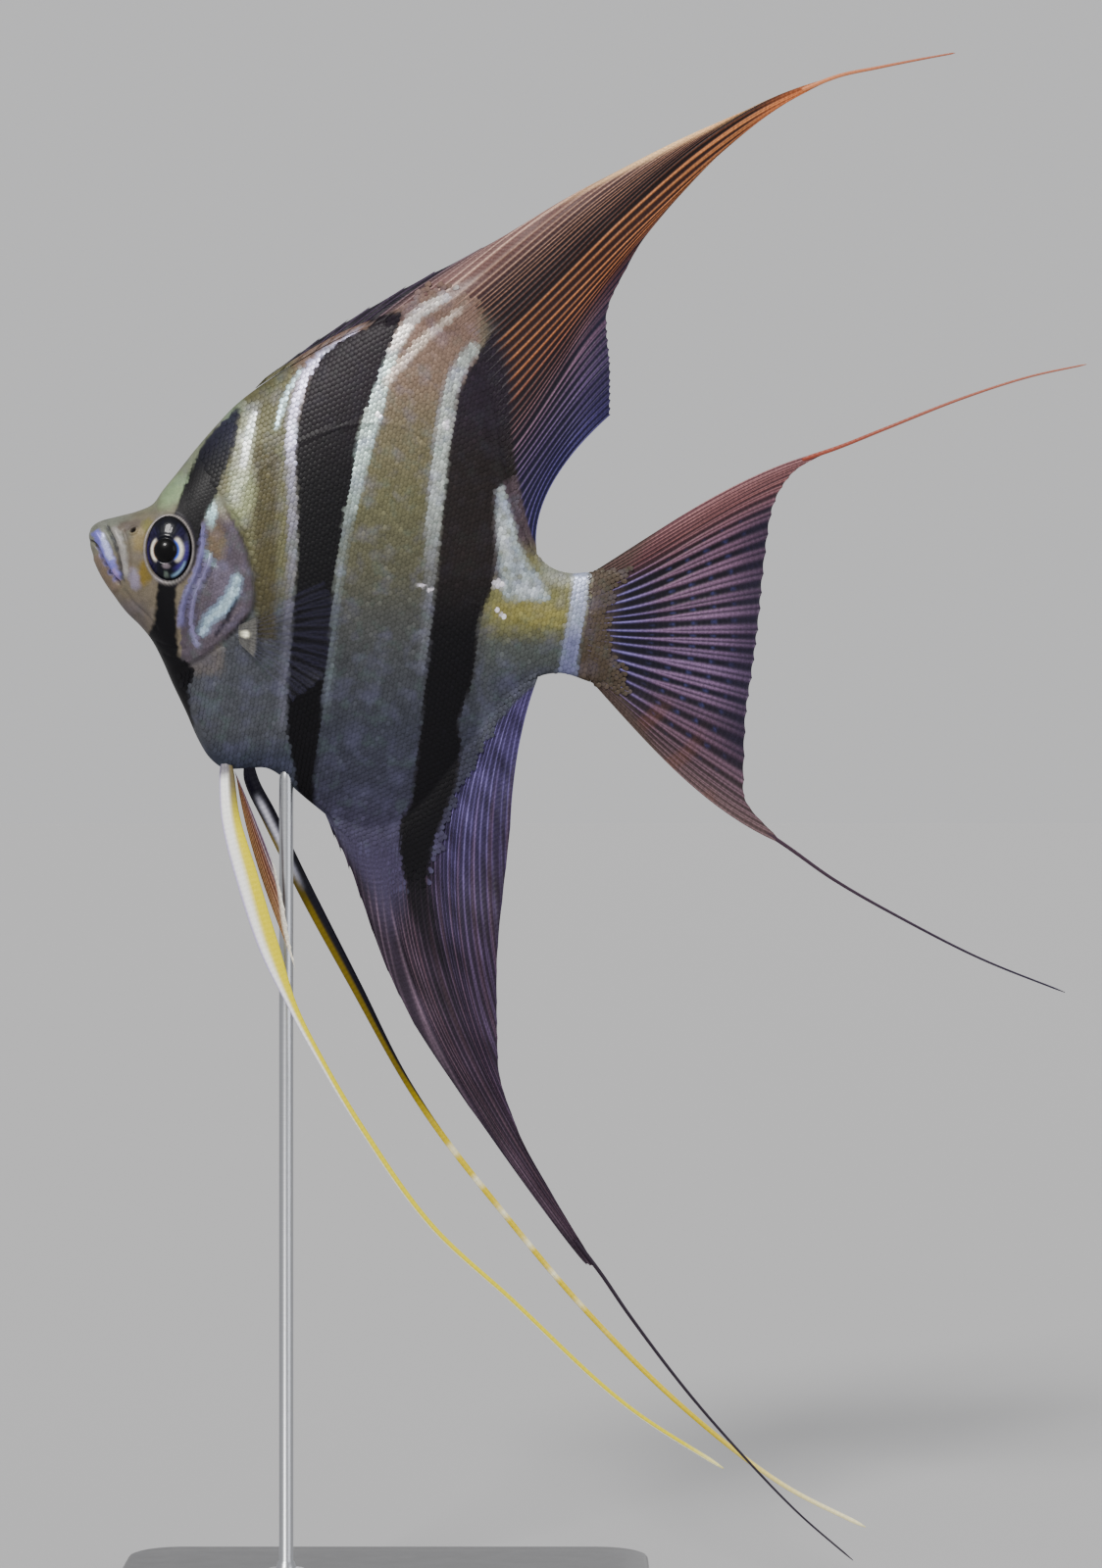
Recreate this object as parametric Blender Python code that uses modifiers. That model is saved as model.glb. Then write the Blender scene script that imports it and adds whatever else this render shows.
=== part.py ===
"""An altum angelfish (Pterophyllum altum) as a life-size display model on a flat stand.

Run it with: blender --background --python part.py

The fish is described in millimetres in a frame of its own: the origin is at the tip of the snout,
x runs back to the tail, z runs up, and y runs to the fish's right. to_world() carries that frame
into the model's frame, in metres, whose origin is on the floor under the middle of the model.
Body and fins are modelled whole and then parted with thin cuts.
"""

import math
from bisect import bisect_right

import bmesh
import bpy
from mathutils import Matrix, Vector

# ---------------------------------------------------------------- driving dimensions (mm)

SNOUT = Vector((-112.0, 0.0, 240.3))      # the tip of the snout in the model's frame
GAP = 0.3                                 # between neighbouring solids

STALK_END = 112.4                         # where the flesh stops and the tail fin starts
BACK = [
    (0.0, -0.3), (0.6, 1.2), (2.0, 2.3), (6.4, 3.6), (11.2, 4.9), (14.3, 6.4), (16.5, 9.5),
    (19.6, 13.4), (24.0, 19.1), (28.4, 24.2), (32.8, 28.8), (37.6, 32.6), (46.0, 38.1),
    (55.9, 43.8), (62.5, 46.6), (69.1, 48.4), (75.7, 48.4), (81.6, 45.8), (86.7, 40.3),
    (90.4, 31.5), (92.6, 20.5), (94.4, 11.7), (96.8, 3.3), (100.1, -4.1), (103.6, -7.5),
    (107.6, -8.8), (STALK_END, -8.6),
]
BELLY = [
    (0.0, -1.3), (0.3, -3.2), (0.9, -5.2), (2.6, -9.4), (5.2, -13.7), (8.2, -17.8),
    (11.6, -21.2), (14.0, -24.2), (16.1, -28.1), (18.7, -34.1), (21.8, -40.7), (24.6, -47.1),
    (27.1, -51.0), (30.1, -53.2), (35.0, -53.3), (39.8, -53.2), (43.3, -55.2), (46.6, -58.3),
    (50.8, -61.8), (55.9, -65.6), (62.5, -68.2), (69.1, -66.9), (75.7, -61.4), (82.3, -52.8),
    (88.9, -43.8), (95.5, -36.5), (100.5, -32.8), (105.8, -31.9), (STALK_END, -33.9),
]
MIDLINE = [(0.0, -0.8), (4.0, -2.5), (12.0, -5.0), (22.0, -9.0), (36.0, -13.0), (60.0, -14.0),
           (90.0, -17.0), (STALK_END, -21.0)]      # where each section is thickest
HALF_WIDTH = [(0.0, 0.5), (0.5, 1.7), (2.0, 2.9), (6.0, 4.5), (12.0, 6.2), (18.0, 7.4),
              (25.0, 8.3), (35.0, 8.7), (48.0, 8.4), (62.0, 7.4), (76.0, 6.0), (90.0, 4.5),
              (100.0, 3.4), (STALK_END, 2.4)]
FULLNESS = [(0.0, 2.0), (14.0, 2.0), (40.0, 1.7), (STALK_END, 1.8)]   # 2 is an ellipse's
RIM = [(0.0, 0.5), (14.0, 0.52), (40.0, 0.72), (100.0, 0.7), (STALK_END, 0.55)]
MIDLINE_MARGIN = 0.3                      # of the height, the least the midline keeps from an edge
SECTIONS = 38
FINE_STEPS = 400                          # steps in which the places of the sections are worked out
STEEP_WEIGHT = 0.3                        # how strongly a steep edge draws the sections together
SIDE_STEPS = 11                           # facets from back to belly on one side
CONTOUR_STEPS = 6                         # facets in each span of BACK and BELLY

GILL_EDGE = [(27.0, 27.0), (29.5, 14.0), (32.0, 3.5), (35.0, -4.0), (36.7, -12.0),
             (36.4, -17.5), (33.5, -20.8), (29.3, -24.8), (23.5, -28.8), (17.5, -30.6),
             (13.5, -31.0)]
GILL_TOP = 2                              # where the gill cover starts and ends on GILL_EDGE
GILL_FOOT = 8
GILL_FRONT = [GILL_EDGE[GILL_TOP], (28.6, -0.5), (26.4, -5.5), (23.2, -11.5), (21.3, -17.0),
              (21.3, -23.0), GILL_EDGE[GILL_FOOT]]
GILL_DEPTH_Y = 5.0                        # the gill cover's inner face
JAW_HINGE = [(1.0, 7.0), (2.9, 2.9), (4.6, -0.4), (5.9, -3.7), (6.6, -7.0), (7.4, -11.5),
             (7.4, -13.5), (5.6, -18.0)]
MOUTH = [(-2.5, -0.4), (1.2, -2.8), (2.8, -6.0), (4.6, -9.0), (7.4, -12.2)]
TRUNK_CUT = [(61.8, 60.0), (61.8, -80.0)]
STALK_CUT = [(100.6, 10.0), (100.6, -50.0)]
CUT_REACH = 25.0                          # how far a cut runs to each side of the fish
CUT_STEPS = 3                             # facets in each span of a curved cut
BODY_MIDDLES = {                          # about where each piece of the body has its middle
    "head": (18.0, 0.0, -4.0), "gill_cover_left": (29.0, -7.5, -12.0),
    "gill_cover_right": (29.0, 7.5, -12.0), "jaws": (4.0, 0.0, -6.0),
    "jaw_upper": (4.0, 0.0, -4.0), "jaw_lower": (3.5, 0.0, -9.0), "fore": (31.0, 0.0, -8.0),
    "trunk_front": (40.0, 0.0, -8.0), "aft": (90.0, 0.0, -10.0),
    "trunk_rear": (81.0, 0.0, -10.0), "tail_stalk": (106.0, 0.0, -20.0),
}

EYE_CENTRE = (17.9, 5.4, -3.6)
EYE_HALF_SIZE = (6.2, 3.4, 8.2)           # along the head, outward, upright
EYE_TURN_DEG = 10                         # how far an eye looks forward, square to the cheek
EYE_FACETS = (16, 9)

# Each guide ray of a fin: root along the body, angle at the root, tip x, tip z, angle at the tip.
DORSAL_RAYS = [
    (39.4, 45, 42.2, 37.0, 45), (49.9, 45, 54.8, 46.0, 42), (59.2, 42, 72.4, 56.2, 38),
    (66.9, 40, 94.4, 67.6, 30), (72.4, 38, 107.6, 75.6, 30), (79.4, 38, 138.4, 91.2, 24),
    (81.8, 39, 156.0, 98.3, 18), (83.8, 40, 168.1, 102.7, 12), (87.8, 45, 150.5, 93.0, 40),
    (90.6, 50, 122.5, 63.0, 43), (92.6, 50, 116.2, 48.0, 44), (94.6, 56, 117.0, 36.5, 45),
    (100.0, 96, 117.0, 26.6, 42),
]
ANAL_RAYS = [
    (53.8, -66, 55.2, -68.6, -66), (57.4, -80, 59.0, -77.0, -76), (61.4, -84, 67.3, -99.0, -68),
    (65.3, -88, 73.9, -112.0, -62), (68.9, -98, 111.5, -164.2, -54),
    (73.5, -104, 114.0, -165.0, -54), (79.0, -107, 104.0, -148.5, -58),
    (84.5, -110, 96.0, -133.5, -62), (90.0, -113, 91.8, -118.5, -68),
    (95.5, -113, 91.5, -99.0, -80), (100.2, -110, 94.5, -66.0, -92),
]
TAIL_RAYS = [
    (-9.2, 32, 167.4, 18.9, 12), (-11.8, 26, 158.0, 13.4, 22), (-14.6, 20, 153.4, 5.0, 20),
    (-18.0, 7, 151.6, -7.5, 12), (-21.4, -1, 150.4, -20.0, 2), (-25.0, -10, 149.0, -31.0, -10),
    (-28.6, -30, 147.4, -43.0, -22), (-31.4, -44, 147.0, -58.0, -34), (-33.4, -48, 156.0, -70.2, -22),
]
PECTORAL_RAYS = [(-20.6, 22, 53.6, -11.5, 18), (-22.2, 2, 57.0, -20.0, -2),
                 (-24.4, -18, 54.5, -31.5, -24), (-26.4, -42, 46.5, -38.5, -50)]
PECTORAL_ROOT_X = 35.6
PECTORAL_ROOT_Y = 9.2
PECTORAL_FLARE_Y = 4.4                    # how far the fan's edge stands out from its root
LEFT_WEB_RAYS = [(-54.8, -68, 41.4, -75.2, -70), (-55.8, -72, 43.8, -85.0, -66),
                 (-56.8, -76, 45.4, -91.4, -66), (-58.0, -78, 47.4, -98.8, -68)]
LEFT_WEB_ROOT_X = 34.6
LEFT_WEB_Y = (-1.6, -6.4)                 # at its root and at its tips
FIN_THICKNESS = 0.8
FIN_ROOT_GAP = 0.4                        # a little more than GAP, because both edges are faceted
WEB_THICKNESS = 0.6
DORSAL_CUTS = ((4.5, 85), (8.5, -10))     # (guide number, angle at which the cut leaves the fin)
ANAL_CUTS = ((3.5, 205), (7.5, 0))
TAIL_CUTS = ((1.5, -15), (6.5, 0))
DORSAL_GRID = (24, 7)                     # facets across the rays and along them
ANAL_GRID = (20, 8)
TAIL_GRID = (16, 5)
PECTORAL_GRID = (8, 5)
LEFT_WEB_GRID = (4, 8)
DORSAL_MIDDLES = {"dorsal_fin_front": (74.0, 0.5, 56.0), "dorsal_fin_middle": (124.0, 1.5, 70.0),
                  "dorsal_fin_rear": (106.0, 1.0, 24.0)}
ANAL_MIDDLES = {"anal_fin_front": (73.0, -0.5, -103.0), "anal_fin_middle": (91.0, -1.0, -106.0),
                "anal_fin_rear": (91.0, -0.5, -80.0)}
TAIL_MIDDLES = {"tail_fin_upper": (140.0, 0.5, 3.0), "tail_fin_middle": (134.0, 0.5, -20.0),
                "tail_fin_lower": (134.0, 0.5, -50.0)}
RAY_CUT_END = 0.93                        # how far along its ray a cut turns out of the fin
RAY_CUT_STEPS = 12
RAY_CUT_OVERRUN = 5.0                     # how far a cut runs on past the fin
DORSAL_LEAN_Y = 2.5                       # how far a fin's tips lean out of the middle plane
ANAL_LEAN_Y = -2.0
TAIL_LEAN_Y = 1.5

# Filaments: (x, y, z) points, and the radius at each end.
DORSAL_FILAMENT = [(168.6, 2.5, 102.9), (177.0, 2.8, 104.7), (186.0, 2.9, 106.5), (194.5, 2.6, 108.0)]
ANAL_FILAMENT = [(114.8, -2.0, -166.2), (120.8, -2.0, -175.0), (134.0, -1.6, -192.5),
                 (146.1, -1.0, -206.5), (159.0, -0.4, -220.0), (171.4, 0.2, -230.8)]
TAIL_FILAMENT_UPPER = [(168.0, 1.5, 19.1), (178.0, 1.8, 23.1), (196.0, 1.6, 30.2),
                       (211.0, 1.2, 35.0), (223.9, 1.0, 37.8)]
TAIL_FILAMENT_LOWER = [(156.7, 1.5, -70.6), (167.0, 1.2, -77.9), (184.0, 0.4, -87.6),
                       (200.0, -0.6, -95.7), (218.7, -1.8, -103.2)]
PELVIC_LEFT = [(30.7, -3.6, -53.9), (32.1, -5.4, -64.2), (36.0, -7.6, -77.6), (40.5, -9.4, -91.5),
               (46.8, -10.8, -107.0), (53.2, -11.8, -118.8), (60.8, -12.4, -131.4),
               (77.0, -12.8, -154.2), (94.6, -12.6, -170.6), (120.6, -11.6, -194.6),
               (141.9, -10.0, -208.6)]
PELVIC_RIGHT = [(36.6, 3.2, -54.9), (40.2, 4.6, -63.5), (48.2, 7.0, -80.7), (59.6, 9.0, -102.6),
                (70.2, 10.4, -122.8), (78.2, 11.2, -135.2), (91.4, 11.8, -152.2),
                (111.6, 12.0, -176.2), (133.8, 11.4, -198.2), (156.2, 10.2, -215.4),
                (174.8, 9.0, -224.8)]
PELVIC_BLADE_SPANS = 4                    # the first spans of a pelvic fin are its blade
THREAD_SPANS = 2                          # spans in one length of the thread that follows
THREAD_LENGTHS = 3
THREAD_STEPS = 3                          # facets in each span
THREAD_SIDES = 6
BLADE_SIDES = 8
BLADE_HALF_WIDTH = {"left": (1.9, 2.4, 2.9, 2.6, 1.0), "right": (2.0, 1.9, 1.7, 1.3, 0.8)}
BLADE_HALF_THICKNESS = 0.7
THREAD_RADIUS = (0.7, 0.4)
SMALL_THREAD_RADIUS = (0.55, 0.3)

BASE_SIZE = (120.0, 80.0, 6.0)
BASE_CENTRE_X = -46.0                     # in the model's frame, under the balance point
BASE_CORNER = 12.0
BASE_CORNER_FACETS = 6
BASE_EDGE_FACETS = 2
BASE_EDGE = 1.0
ROD_RADIUS = 1.6
ROD_X = 44.2                              # in the fish's frame
ROD_SIDES = 20
ROD_TOP_Z = -54.9

CREASE_DEG = 40                           # edges sharper than this are not shaded smooth
BODY_COLOURS = {
    "head": (0.17, 0.16, 0.08), "jaw_upper": (0.22, 0.21, 0.28), "jaw_lower": (0.18, 0.14, 0.09),
    "gill_cover_left": (0.19, 0.20, 0.22), "gill_cover_right": (0.19, 0.20, 0.22),
    "trunk_front": (0.16, 0.15, 0.09), "trunk_rear": (0.12, 0.10, 0.08),
    "tail_stalk": (0.25, 0.23, 0.13),
}
EYE_COLOUR = (0.02, 0.02, 0.05)
DORSAL_COLOUR = (0.28, 0.13, 0.08)
ANAL_COLOUR = (0.10, 0.08, 0.13)
TAIL_COLOUR = (0.12, 0.09, 0.14)
PECTORAL_COLOUR = (0.30, 0.32, 0.36)
LEFT_WEB_COLOUR = (0.20, 0.12, 0.08)
PELVIC_COLOUR = (0.60, 0.58, 0.40)
THREAD_COLOUR = (0.62, 0.56, 0.20)
BASE_COLOUR = (0.03, 0.03, 0.035)
ROD_COLOUR = (0.55, 0.56, 0.58)
FLESH_ROUGHNESS = 0.4
EYE_ROUGHNESS = 0.1
FIN_ROUGHNESS = 0.5
BASE_ROUGHNESS = 0.35
ROD_ROUGHNESS = 0.3

# ---------------------------------------------------------------- small tools


def to_world(x, y, z):
    """A point of the fish's frame, in millimetres, as a point of the model's frame, in metres."""
    return (Vector((x, y, z)) + SNOUT) / 1000


def monotone(points):
    """The smooth function through (x, value) points that never overshoots them."""
    xs = [p[0] for p in points]
    ys = [p[1] for p in points]
    slopes = [(ys[i + 1] - ys[i]) / (xs[i + 1] - xs[i]) for i in range(len(xs) - 1)]
    tangents = [slopes[0]]
    for before, after in zip(slopes, slopes[1:]):
        same_way = before * after > 0
        tangents.append(2 * before * after / (before + after) if same_way else 0.0)
    tangents.append(slopes[-1])

    def value(x):
        i = min(max(bisect_right(xs, x) - 1, 0), len(xs) - 2)
        span = xs[i + 1] - xs[i]
        t = min(max((x - xs[i]) / span, 0.0), 1.0)
        rise = ys[i] * (2 * t**3 - 3 * t**2 + 1) + ys[i + 1] * (3 * t**2 - 2 * t**3)
        return rise + span * (tangents[i] * (t**3 - 2 * t**2 + t) + tangents[i + 1] * (t**3 - t**2))

    return value


def flow(points, steps):
    """Points on a smooth curve through the given ones, with that many steps to each span."""
    knots = [Vector(p) for p in points]
    ends = [2 * knots[0] - knots[1]] + knots + [2 * knots[-1] - knots[-2]]
    line = []
    for a, b, c, d in zip(ends, ends[1:], ends[2:], ends[3:]):
        reach = (c - b).length
        start = (c - b + (b - a) * reach / (b - a).length) / 2
        finish = (c - b + (d - c) * reach / (d - c).length) / 2
        for k in range(steps):
            t = k / steps
            line.append(b * (2 * t**3 - 3 * t**2 + 1) + c * (3 * t**2 - 2 * t**3)
                        + start * (t**3 - 2 * t**2 + t) + finish * (t**3 - t**2))
    return line + [knots[-1]]


def height_on(line, x):
    """The z of a line of (x, z) points, whose x rises, at one x."""
    i = min(max(bisect_right([p[0] for p in line], x), 1), len(line) - 1)
    low, high = line[i - 1], line[i]
    t = (x - low[0]) / (high[0] - low[0])
    return low[1] + t * (high[1] - low[1])


def new_object(name, vertices, faces, collection):
    """A mesh object from points of the fish's frame."""
    mesh = bpy.data.meshes.new(name)
    mesh.from_pydata([to_world(*v) for v in vertices], [], faces)
    mesh.update()
    obj = bpy.data.objects.new(name, mesh)
    collection.objects.link(obj)
    return obj


def freeze(obj):
    """Applies an object's modifiers and returns it."""
    evaluated = obj.evaluated_get(bpy.context.evaluated_depsgraph_get())
    mesh = bpy.data.meshes.new_from_object(evaluated)
    obj.modifiers.clear()
    obj.data = mesh
    return obj


def solidify(obj, thickness):
    """Gives a sheet its thickness, in millimetres, half to each side."""
    shell = obj.modifiers.new("Thickness", "SOLIDIFY")
    shell.thickness = thickness / 1000
    shell.offset = 0
    shell.use_even_offset = True
    return freeze(obj)


def face_outward(obj):
    """Turns every face of a closed mesh outward."""
    bm = bmesh.new()
    bm.from_mesh(obj.data)
    bmesh.ops.recalc_face_normals(bm, faces=bm.faces)
    bm.to_mesh(obj.data)
    bm.free()


def cut(obj, cutter):
    """Cuts a cutter's shape out of an object, and applies the cut."""
    boolean = obj.modifiers.new("Cut", "BOOLEAN")
    boolean.operation = "DIFFERENCE"
    boolean.solver = "EXACT"
    boolean.object = cutter
    bpy.context.view_layer.update()
    return freeze(obj)


def as_cutter(obj):
    """Marks an object as a cutter, which never shows."""
    obj.hide_render = True
    obj.display_type = "WIRE"
    return obj


def wall(name, line, cutters):
    """A thin cutter that stands along a line of (x, z) points, right through the fish."""
    vertices = [(x, side, z) for side in (-CUT_REACH, CUT_REACH) for x, z in line]
    count = len(line)
    faces = [(i, i + 1, count + i + 1, count + i) for i in range(count - 1)]
    sheet = solidify(new_object(name, vertices, faces, cutters), GAP)
    face_outward(sheet)
    return as_cutter(sheet)


def cut_apart(obj, cutter, seeds):
    """Cuts an object in two and names each piece for the seed point nearest its middle."""
    cut(obj, cutter)
    bpy.ops.object.select_all(action="DESELECT")
    obj.select_set(True)
    bpy.context.view_layer.objects.active = obj
    bpy.ops.mesh.separate(type="LOOSE")
    pieces = {}
    for piece in list(bpy.context.selected_objects):
        corners = [Vector(c) for c in piece.bound_box]
        middle = sum(corners, Vector()) / len(corners)
        name = min(seeds, key=lambda n: (to_world(*seeds[n]) - middle).length)
        if name in pieces:
            raise RuntimeError(f"{cutter.name} leaves two pieces nearest to {name}")
        pieces[name] = piece
    missing = sorted(set(seeds) - set(pieces))
    if missing:
        raise RuntimeError(f"{cutter.name} leaves no piece nearest to {missing}")
    for name, piece in pieces.items():
        piece.name = name
        piece.data.name = name
    return pieces


def material(name, colour, roughness, metallic=0.0):
    """A Principled material."""
    mat = bpy.data.materials.new(name)
    mat.use_nodes = True
    shader = mat.node_tree.nodes["Principled BSDF"]
    shader.inputs["Base Color"].default_value = (*colour, 1.0)
    shader.inputs["Roughness"].default_value = roughness
    shader.inputs["Metallic"].default_value = metallic
    return mat


def finish(obj, colour, roughness, metallic=0.0):
    """Gives an object its own material and smooth shading."""
    obj.data.materials.clear()
    obj.data.materials.append(material(obj.name, colour, roughness, metallic))
    obj.data.shade_smooth()
    obj.data.set_sharp_from_angle(angle=math.radians(CREASE_DEG))


# ---------------------------------------------------------------- the body

back_line = flow(BACK, CONTOUR_STEPS)
belly_line = flow(BELLY, CONTOUR_STEPS)
midline = monotone(MIDLINE)
half_width = monotone(HALF_WIDTH)
fullness = monotone(FULLNESS)
rim = monotone(RIM)


def section_stations():
    """The x of each section, closer together where the back or the belly is steep."""
    fine = [STALK_END * i / FINE_STEPS for i in range(FINE_STEPS + 1)]
    run = [0.0]
    for a, b in zip(fine, fine[1:]):
        climb = abs(height_on(back_line, b) - height_on(back_line, a))
        drop = abs(height_on(belly_line, b) - height_on(belly_line, a))
        run.append(run[-1] + (b - a) + STEEP_WEIGHT * (climb + drop))
    wanted = [run[-1] * i / (SECTIONS - 1) for i in range(SECTIONS)]
    return [height_on(list(zip(run, fine)), w) for w in wanted]


def section_ring(x, grow):
    """The points round one section, down the right side and up the left."""
    top = height_on(back_line, x) + grow
    bottom = height_on(belly_line, x) - grow
    margin = MIDLINE_MARGIN * (top - bottom)
    middle = min(max(midline(x), bottom + margin), top - margin)
    side = []
    for j in range(SIDE_STEPS + 1):
        u = math.cos(math.pi * j / SIDE_STEPS)
        z = middle + u * (top - middle if u > 0 else middle - bottom)
        lens = max(1 - abs(u) ** fullness(x), 0.0) ** rim(x)
        side.append((x, (half_width(x) + grow) * lens, z))
    other = [(x, -y, z) for x, y, z in reversed(side[1:-1])]
    return side + other


def body_solid(name, collection, grow=0.0):
    """The whole flesh of the fish as a loft of its sections."""
    rings = [section_ring(x, grow) for x in section_stations()]
    count = len(rings[0])
    vertices = [point for ring in rings for point in ring]
    faces = [tuple(range(count)), tuple(range(len(vertices) - count, len(vertices)))]
    for i in range(len(rings) - 1):
        for j in range(count):
            k = (j + 1) % count
            faces.append((i * count + j, i * count + k, (i + 1) * count + k, (i + 1) * count + j))
    body = new_object(name, vertices, faces, collection)
    face_outward(body)
    return body


def gill_pocket(name, side, cutters):
    """A thin cutter that frees one gill cover: along its front edge and behind its inner face."""
    front = flow(GILL_FRONT, CUT_STEPS)
    edge = flow(GILL_EDGE, CUT_STEPS)[CUT_STEPS * GILL_TOP:CUT_STEPS * GILL_FOOT + 1]
    inner = side * GILL_DEPTH_Y
    vertices = [(x, inner, z) for x, z in front]
    vertices += [(x, side * CUT_REACH, z) for x, z in front]
    vertices += [(x, inner, z) for x, z in reversed(edge[1:-1])]
    count = len(front)
    faces = [(i, i + 1, count + i + 1, count + i) for i in range(count - 1)]
    faces.append(tuple(range(count)) + tuple(range(2 * count, len(vertices))))
    cup = new_object(name, vertices, faces, cutters)
    face_outward(cup)
    cup = solidify(cup, GAP)
    face_outward(cup)
    return as_cutter(cup)


def eye_solid(name, side, grow, collection):
    """An eyeball, or the cutter for its socket where grow isn't 0."""
    segments, rings = EYE_FACETS
    bpy.ops.mesh.primitive_uv_sphere_add(segments=segments, ring_count=rings, radius=1)
    obj = bpy.context.object
    obj.name = name
    half = [(size + grow) / 1000 for size in EYE_HALF_SIZE]
    pole_outward = Matrix.Rotation(math.radians(90), 4, "X")
    turn = Matrix.Rotation(math.radians(side * EYE_TURN_DEG), 4, "Z")
    centre = to_world(EYE_CENTRE[0], side * EYE_CENTRE[1], EYE_CENTRE[2])
    obj.data.transform(Matrix.Translation(centre) @ turn @ Matrix.Diagonal((*half, 1)) @ pole_outward)
    collect(obj, collection)
    return obj


def build_body(parts, cutters):
    """Head, jaws, gill covers, trunk and tail stalk."""
    body = body_solid("body", parts)
    pieces = {"body": body}

    def divide(whole, cutter, *names):
        places = {name: BODY_MIDDLES[name] for name in names}
        pieces.update(cut_apart(pieces.pop(whole), cutter, places))

    divide("body", wall("cut_trunk", TRUNK_CUT, cutters), "fore", "aft")
    divide("aft", wall("cut_stalk", STALK_CUT, cutters), "trunk_rear", "tail_stalk")
    divide("fore", wall("cut_gill_edge", flow(GILL_EDGE, CUT_STEPS), cutters), "head", "trunk_front")
    for label, side in (("left", -1), ("right", 1)):
        cut(pieces["head"], as_cutter(eye_solid(f"socket_{label}", side, GAP, cutters)))
        pocket = gill_pocket(f"cut_gill_{label}", side, cutters)
        divide("head", pocket, "head", f"gill_cover_{label}")
    divide("head", wall("cut_jaw_hinge", flow(JAW_HINGE, CUT_STEPS), cutters), "head", "jaws")
    divide("jaws", wall("cut_mouth", flow(MOUTH, CUT_STEPS), cutters), "jaw_upper", "jaw_lower")
    for name, piece in pieces.items():
        finish(piece, BODY_COLOURS[name], FLESH_ROUGHNESS)


def build_eyes(parts):
    """Both eyeballs."""
    for label, side in (("left", -1), ("right", 1)):
        finish(eye_solid(f"eye_{label}", side, 0.0, parts), EYE_COLOUR, EYE_ROUGHNESS)


# ---------------------------------------------------------------- fins

def contour_roots(line, outward, xs):
    """The points just off a body contour at the given x, and their distances along it."""
    runs = [0.0]
    for a, b in zip(line, line[1:]):
        runs.append(runs[-1] + (b - a).length)
    place_x = list(zip([p[0] for p in line], runs))
    marks = [height_on(place_x, x) for x in xs]

    def root(mark):
        i = min(max(bisect_right(runs, mark), 1), len(runs) - 1)
        t = (mark - runs[i - 1]) / (runs[i] - runs[i - 1])
        along = (line[i] - line[i - 1]).normalized()
        normal = Vector((-along[1], along[0])) * outward
        return line[i - 1].lerp(line[i], t) + normal * FIN_ROOT_GAP

    return marks, root


def heading(degrees):
    """The unit step at an angle above the tailward direction."""
    return Vector((math.cos(math.radians(degrees)), math.sin(math.radians(degrees))))


def ray_family(guides, root_of):
    """A function from (number along the guides, 0 to 1 along the ray) to a point (x, z)."""
    count = range(len(guides))
    traits = [monotone([(i, guides[i][k]) for i in count]) for k in range(5)]

    def point(number, t):
        mark, root_deg, tip_x, tip_z, tip_deg = [trait(number) for trait in traits]
        root = root_of(mark)
        tip = Vector((tip_x, tip_z))
        handle = (tip - root).length / 3
        leave = root + handle * heading(root_deg)
        arrive = tip - handle * heading(tip_deg)
        s = 1 - t
        return s**3 * root + 3 * s * s * t * leave + 3 * s * t * t * arrive + t**3 * tip

    return point


def fin_sheet(name, point, last, grid, side_of, collection):
    """A sheet over a ray family, across rays 0 to last; side_of(t) is its y."""
    across, along = grid
    vertices = []
    for i in range(across + 1):
        number = last * i / across
        for j in range(along + 1):
            t = j / along
            x, z = point(number, t)
            vertices.append((x, side_of(t), z))
    wide = along + 1
    faces = [(i * wide + j, i * wide + j + 1, (i + 1) * wide + j + 1, (i + 1) * wide + j)
             for i in range(across) for j in range(along)]
    return new_object(name, vertices, faces, collection)


def ray_cut(name, point, number, exit_deg, cutters):
    """A thin cutter along one ray of a fin, that leaves the fin's edge at a clear angle."""
    line = [point(number, RAY_CUT_END * j / RAY_CUT_STEPS) for j in range(RAY_CUT_STEPS + 1)]
    line.insert(0, line[0] + (line[0] - line[1]).normalized() * RAY_CUT_OVERRUN)
    line.append(line[-1] + heading(exit_deg) * 2 * RAY_CUT_OVERRUN)
    return wall(name, line, cutters)


def cut_fin(name, guides, root_of, grid, cuts, seeds, lean, colour, parts, cutters):
    """A fin on the fish's middle plane, made whole and parted into three along two of its rays."""
    point = ray_family(guides, root_of)
    last = len(guides) - 1
    sheet = fin_sheet(name, point, last, grid, lambda t: lean * t * t, parts)
    rest = solidify(sheet, FIN_THICKNESS)
    face_outward(rest)
    front, middle, rear = seeds
    places = {**seeds, "rest": (Vector(seeds[middle]) + Vector(seeds[rear])) / 2}
    for (number, exit_deg), ahead, behind in zip(cuts, (front, middle), ("rest", rear)):
        cutter = ray_cut(f"cut_{ahead}", point, number, exit_deg, cutters)
        pieces = cut_apart(rest, cutter, {name: places[name] for name in (ahead, behind)})
        rest = pieces[behind]
        finish(pieces[ahead], colour, FIN_ROUGHNESS)
    finish(rest, colour, FIN_ROUGHNESS)


def on_contour(rays, line, outward):
    """Guide rays whose roots are distances along a body contour, and the function for a root."""
    marks, root = contour_roots(line, outward, [ray[0] for ray in rays])
    return [(mark, *ray[1:]) for mark, ray in zip(marks, rays)], root


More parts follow.
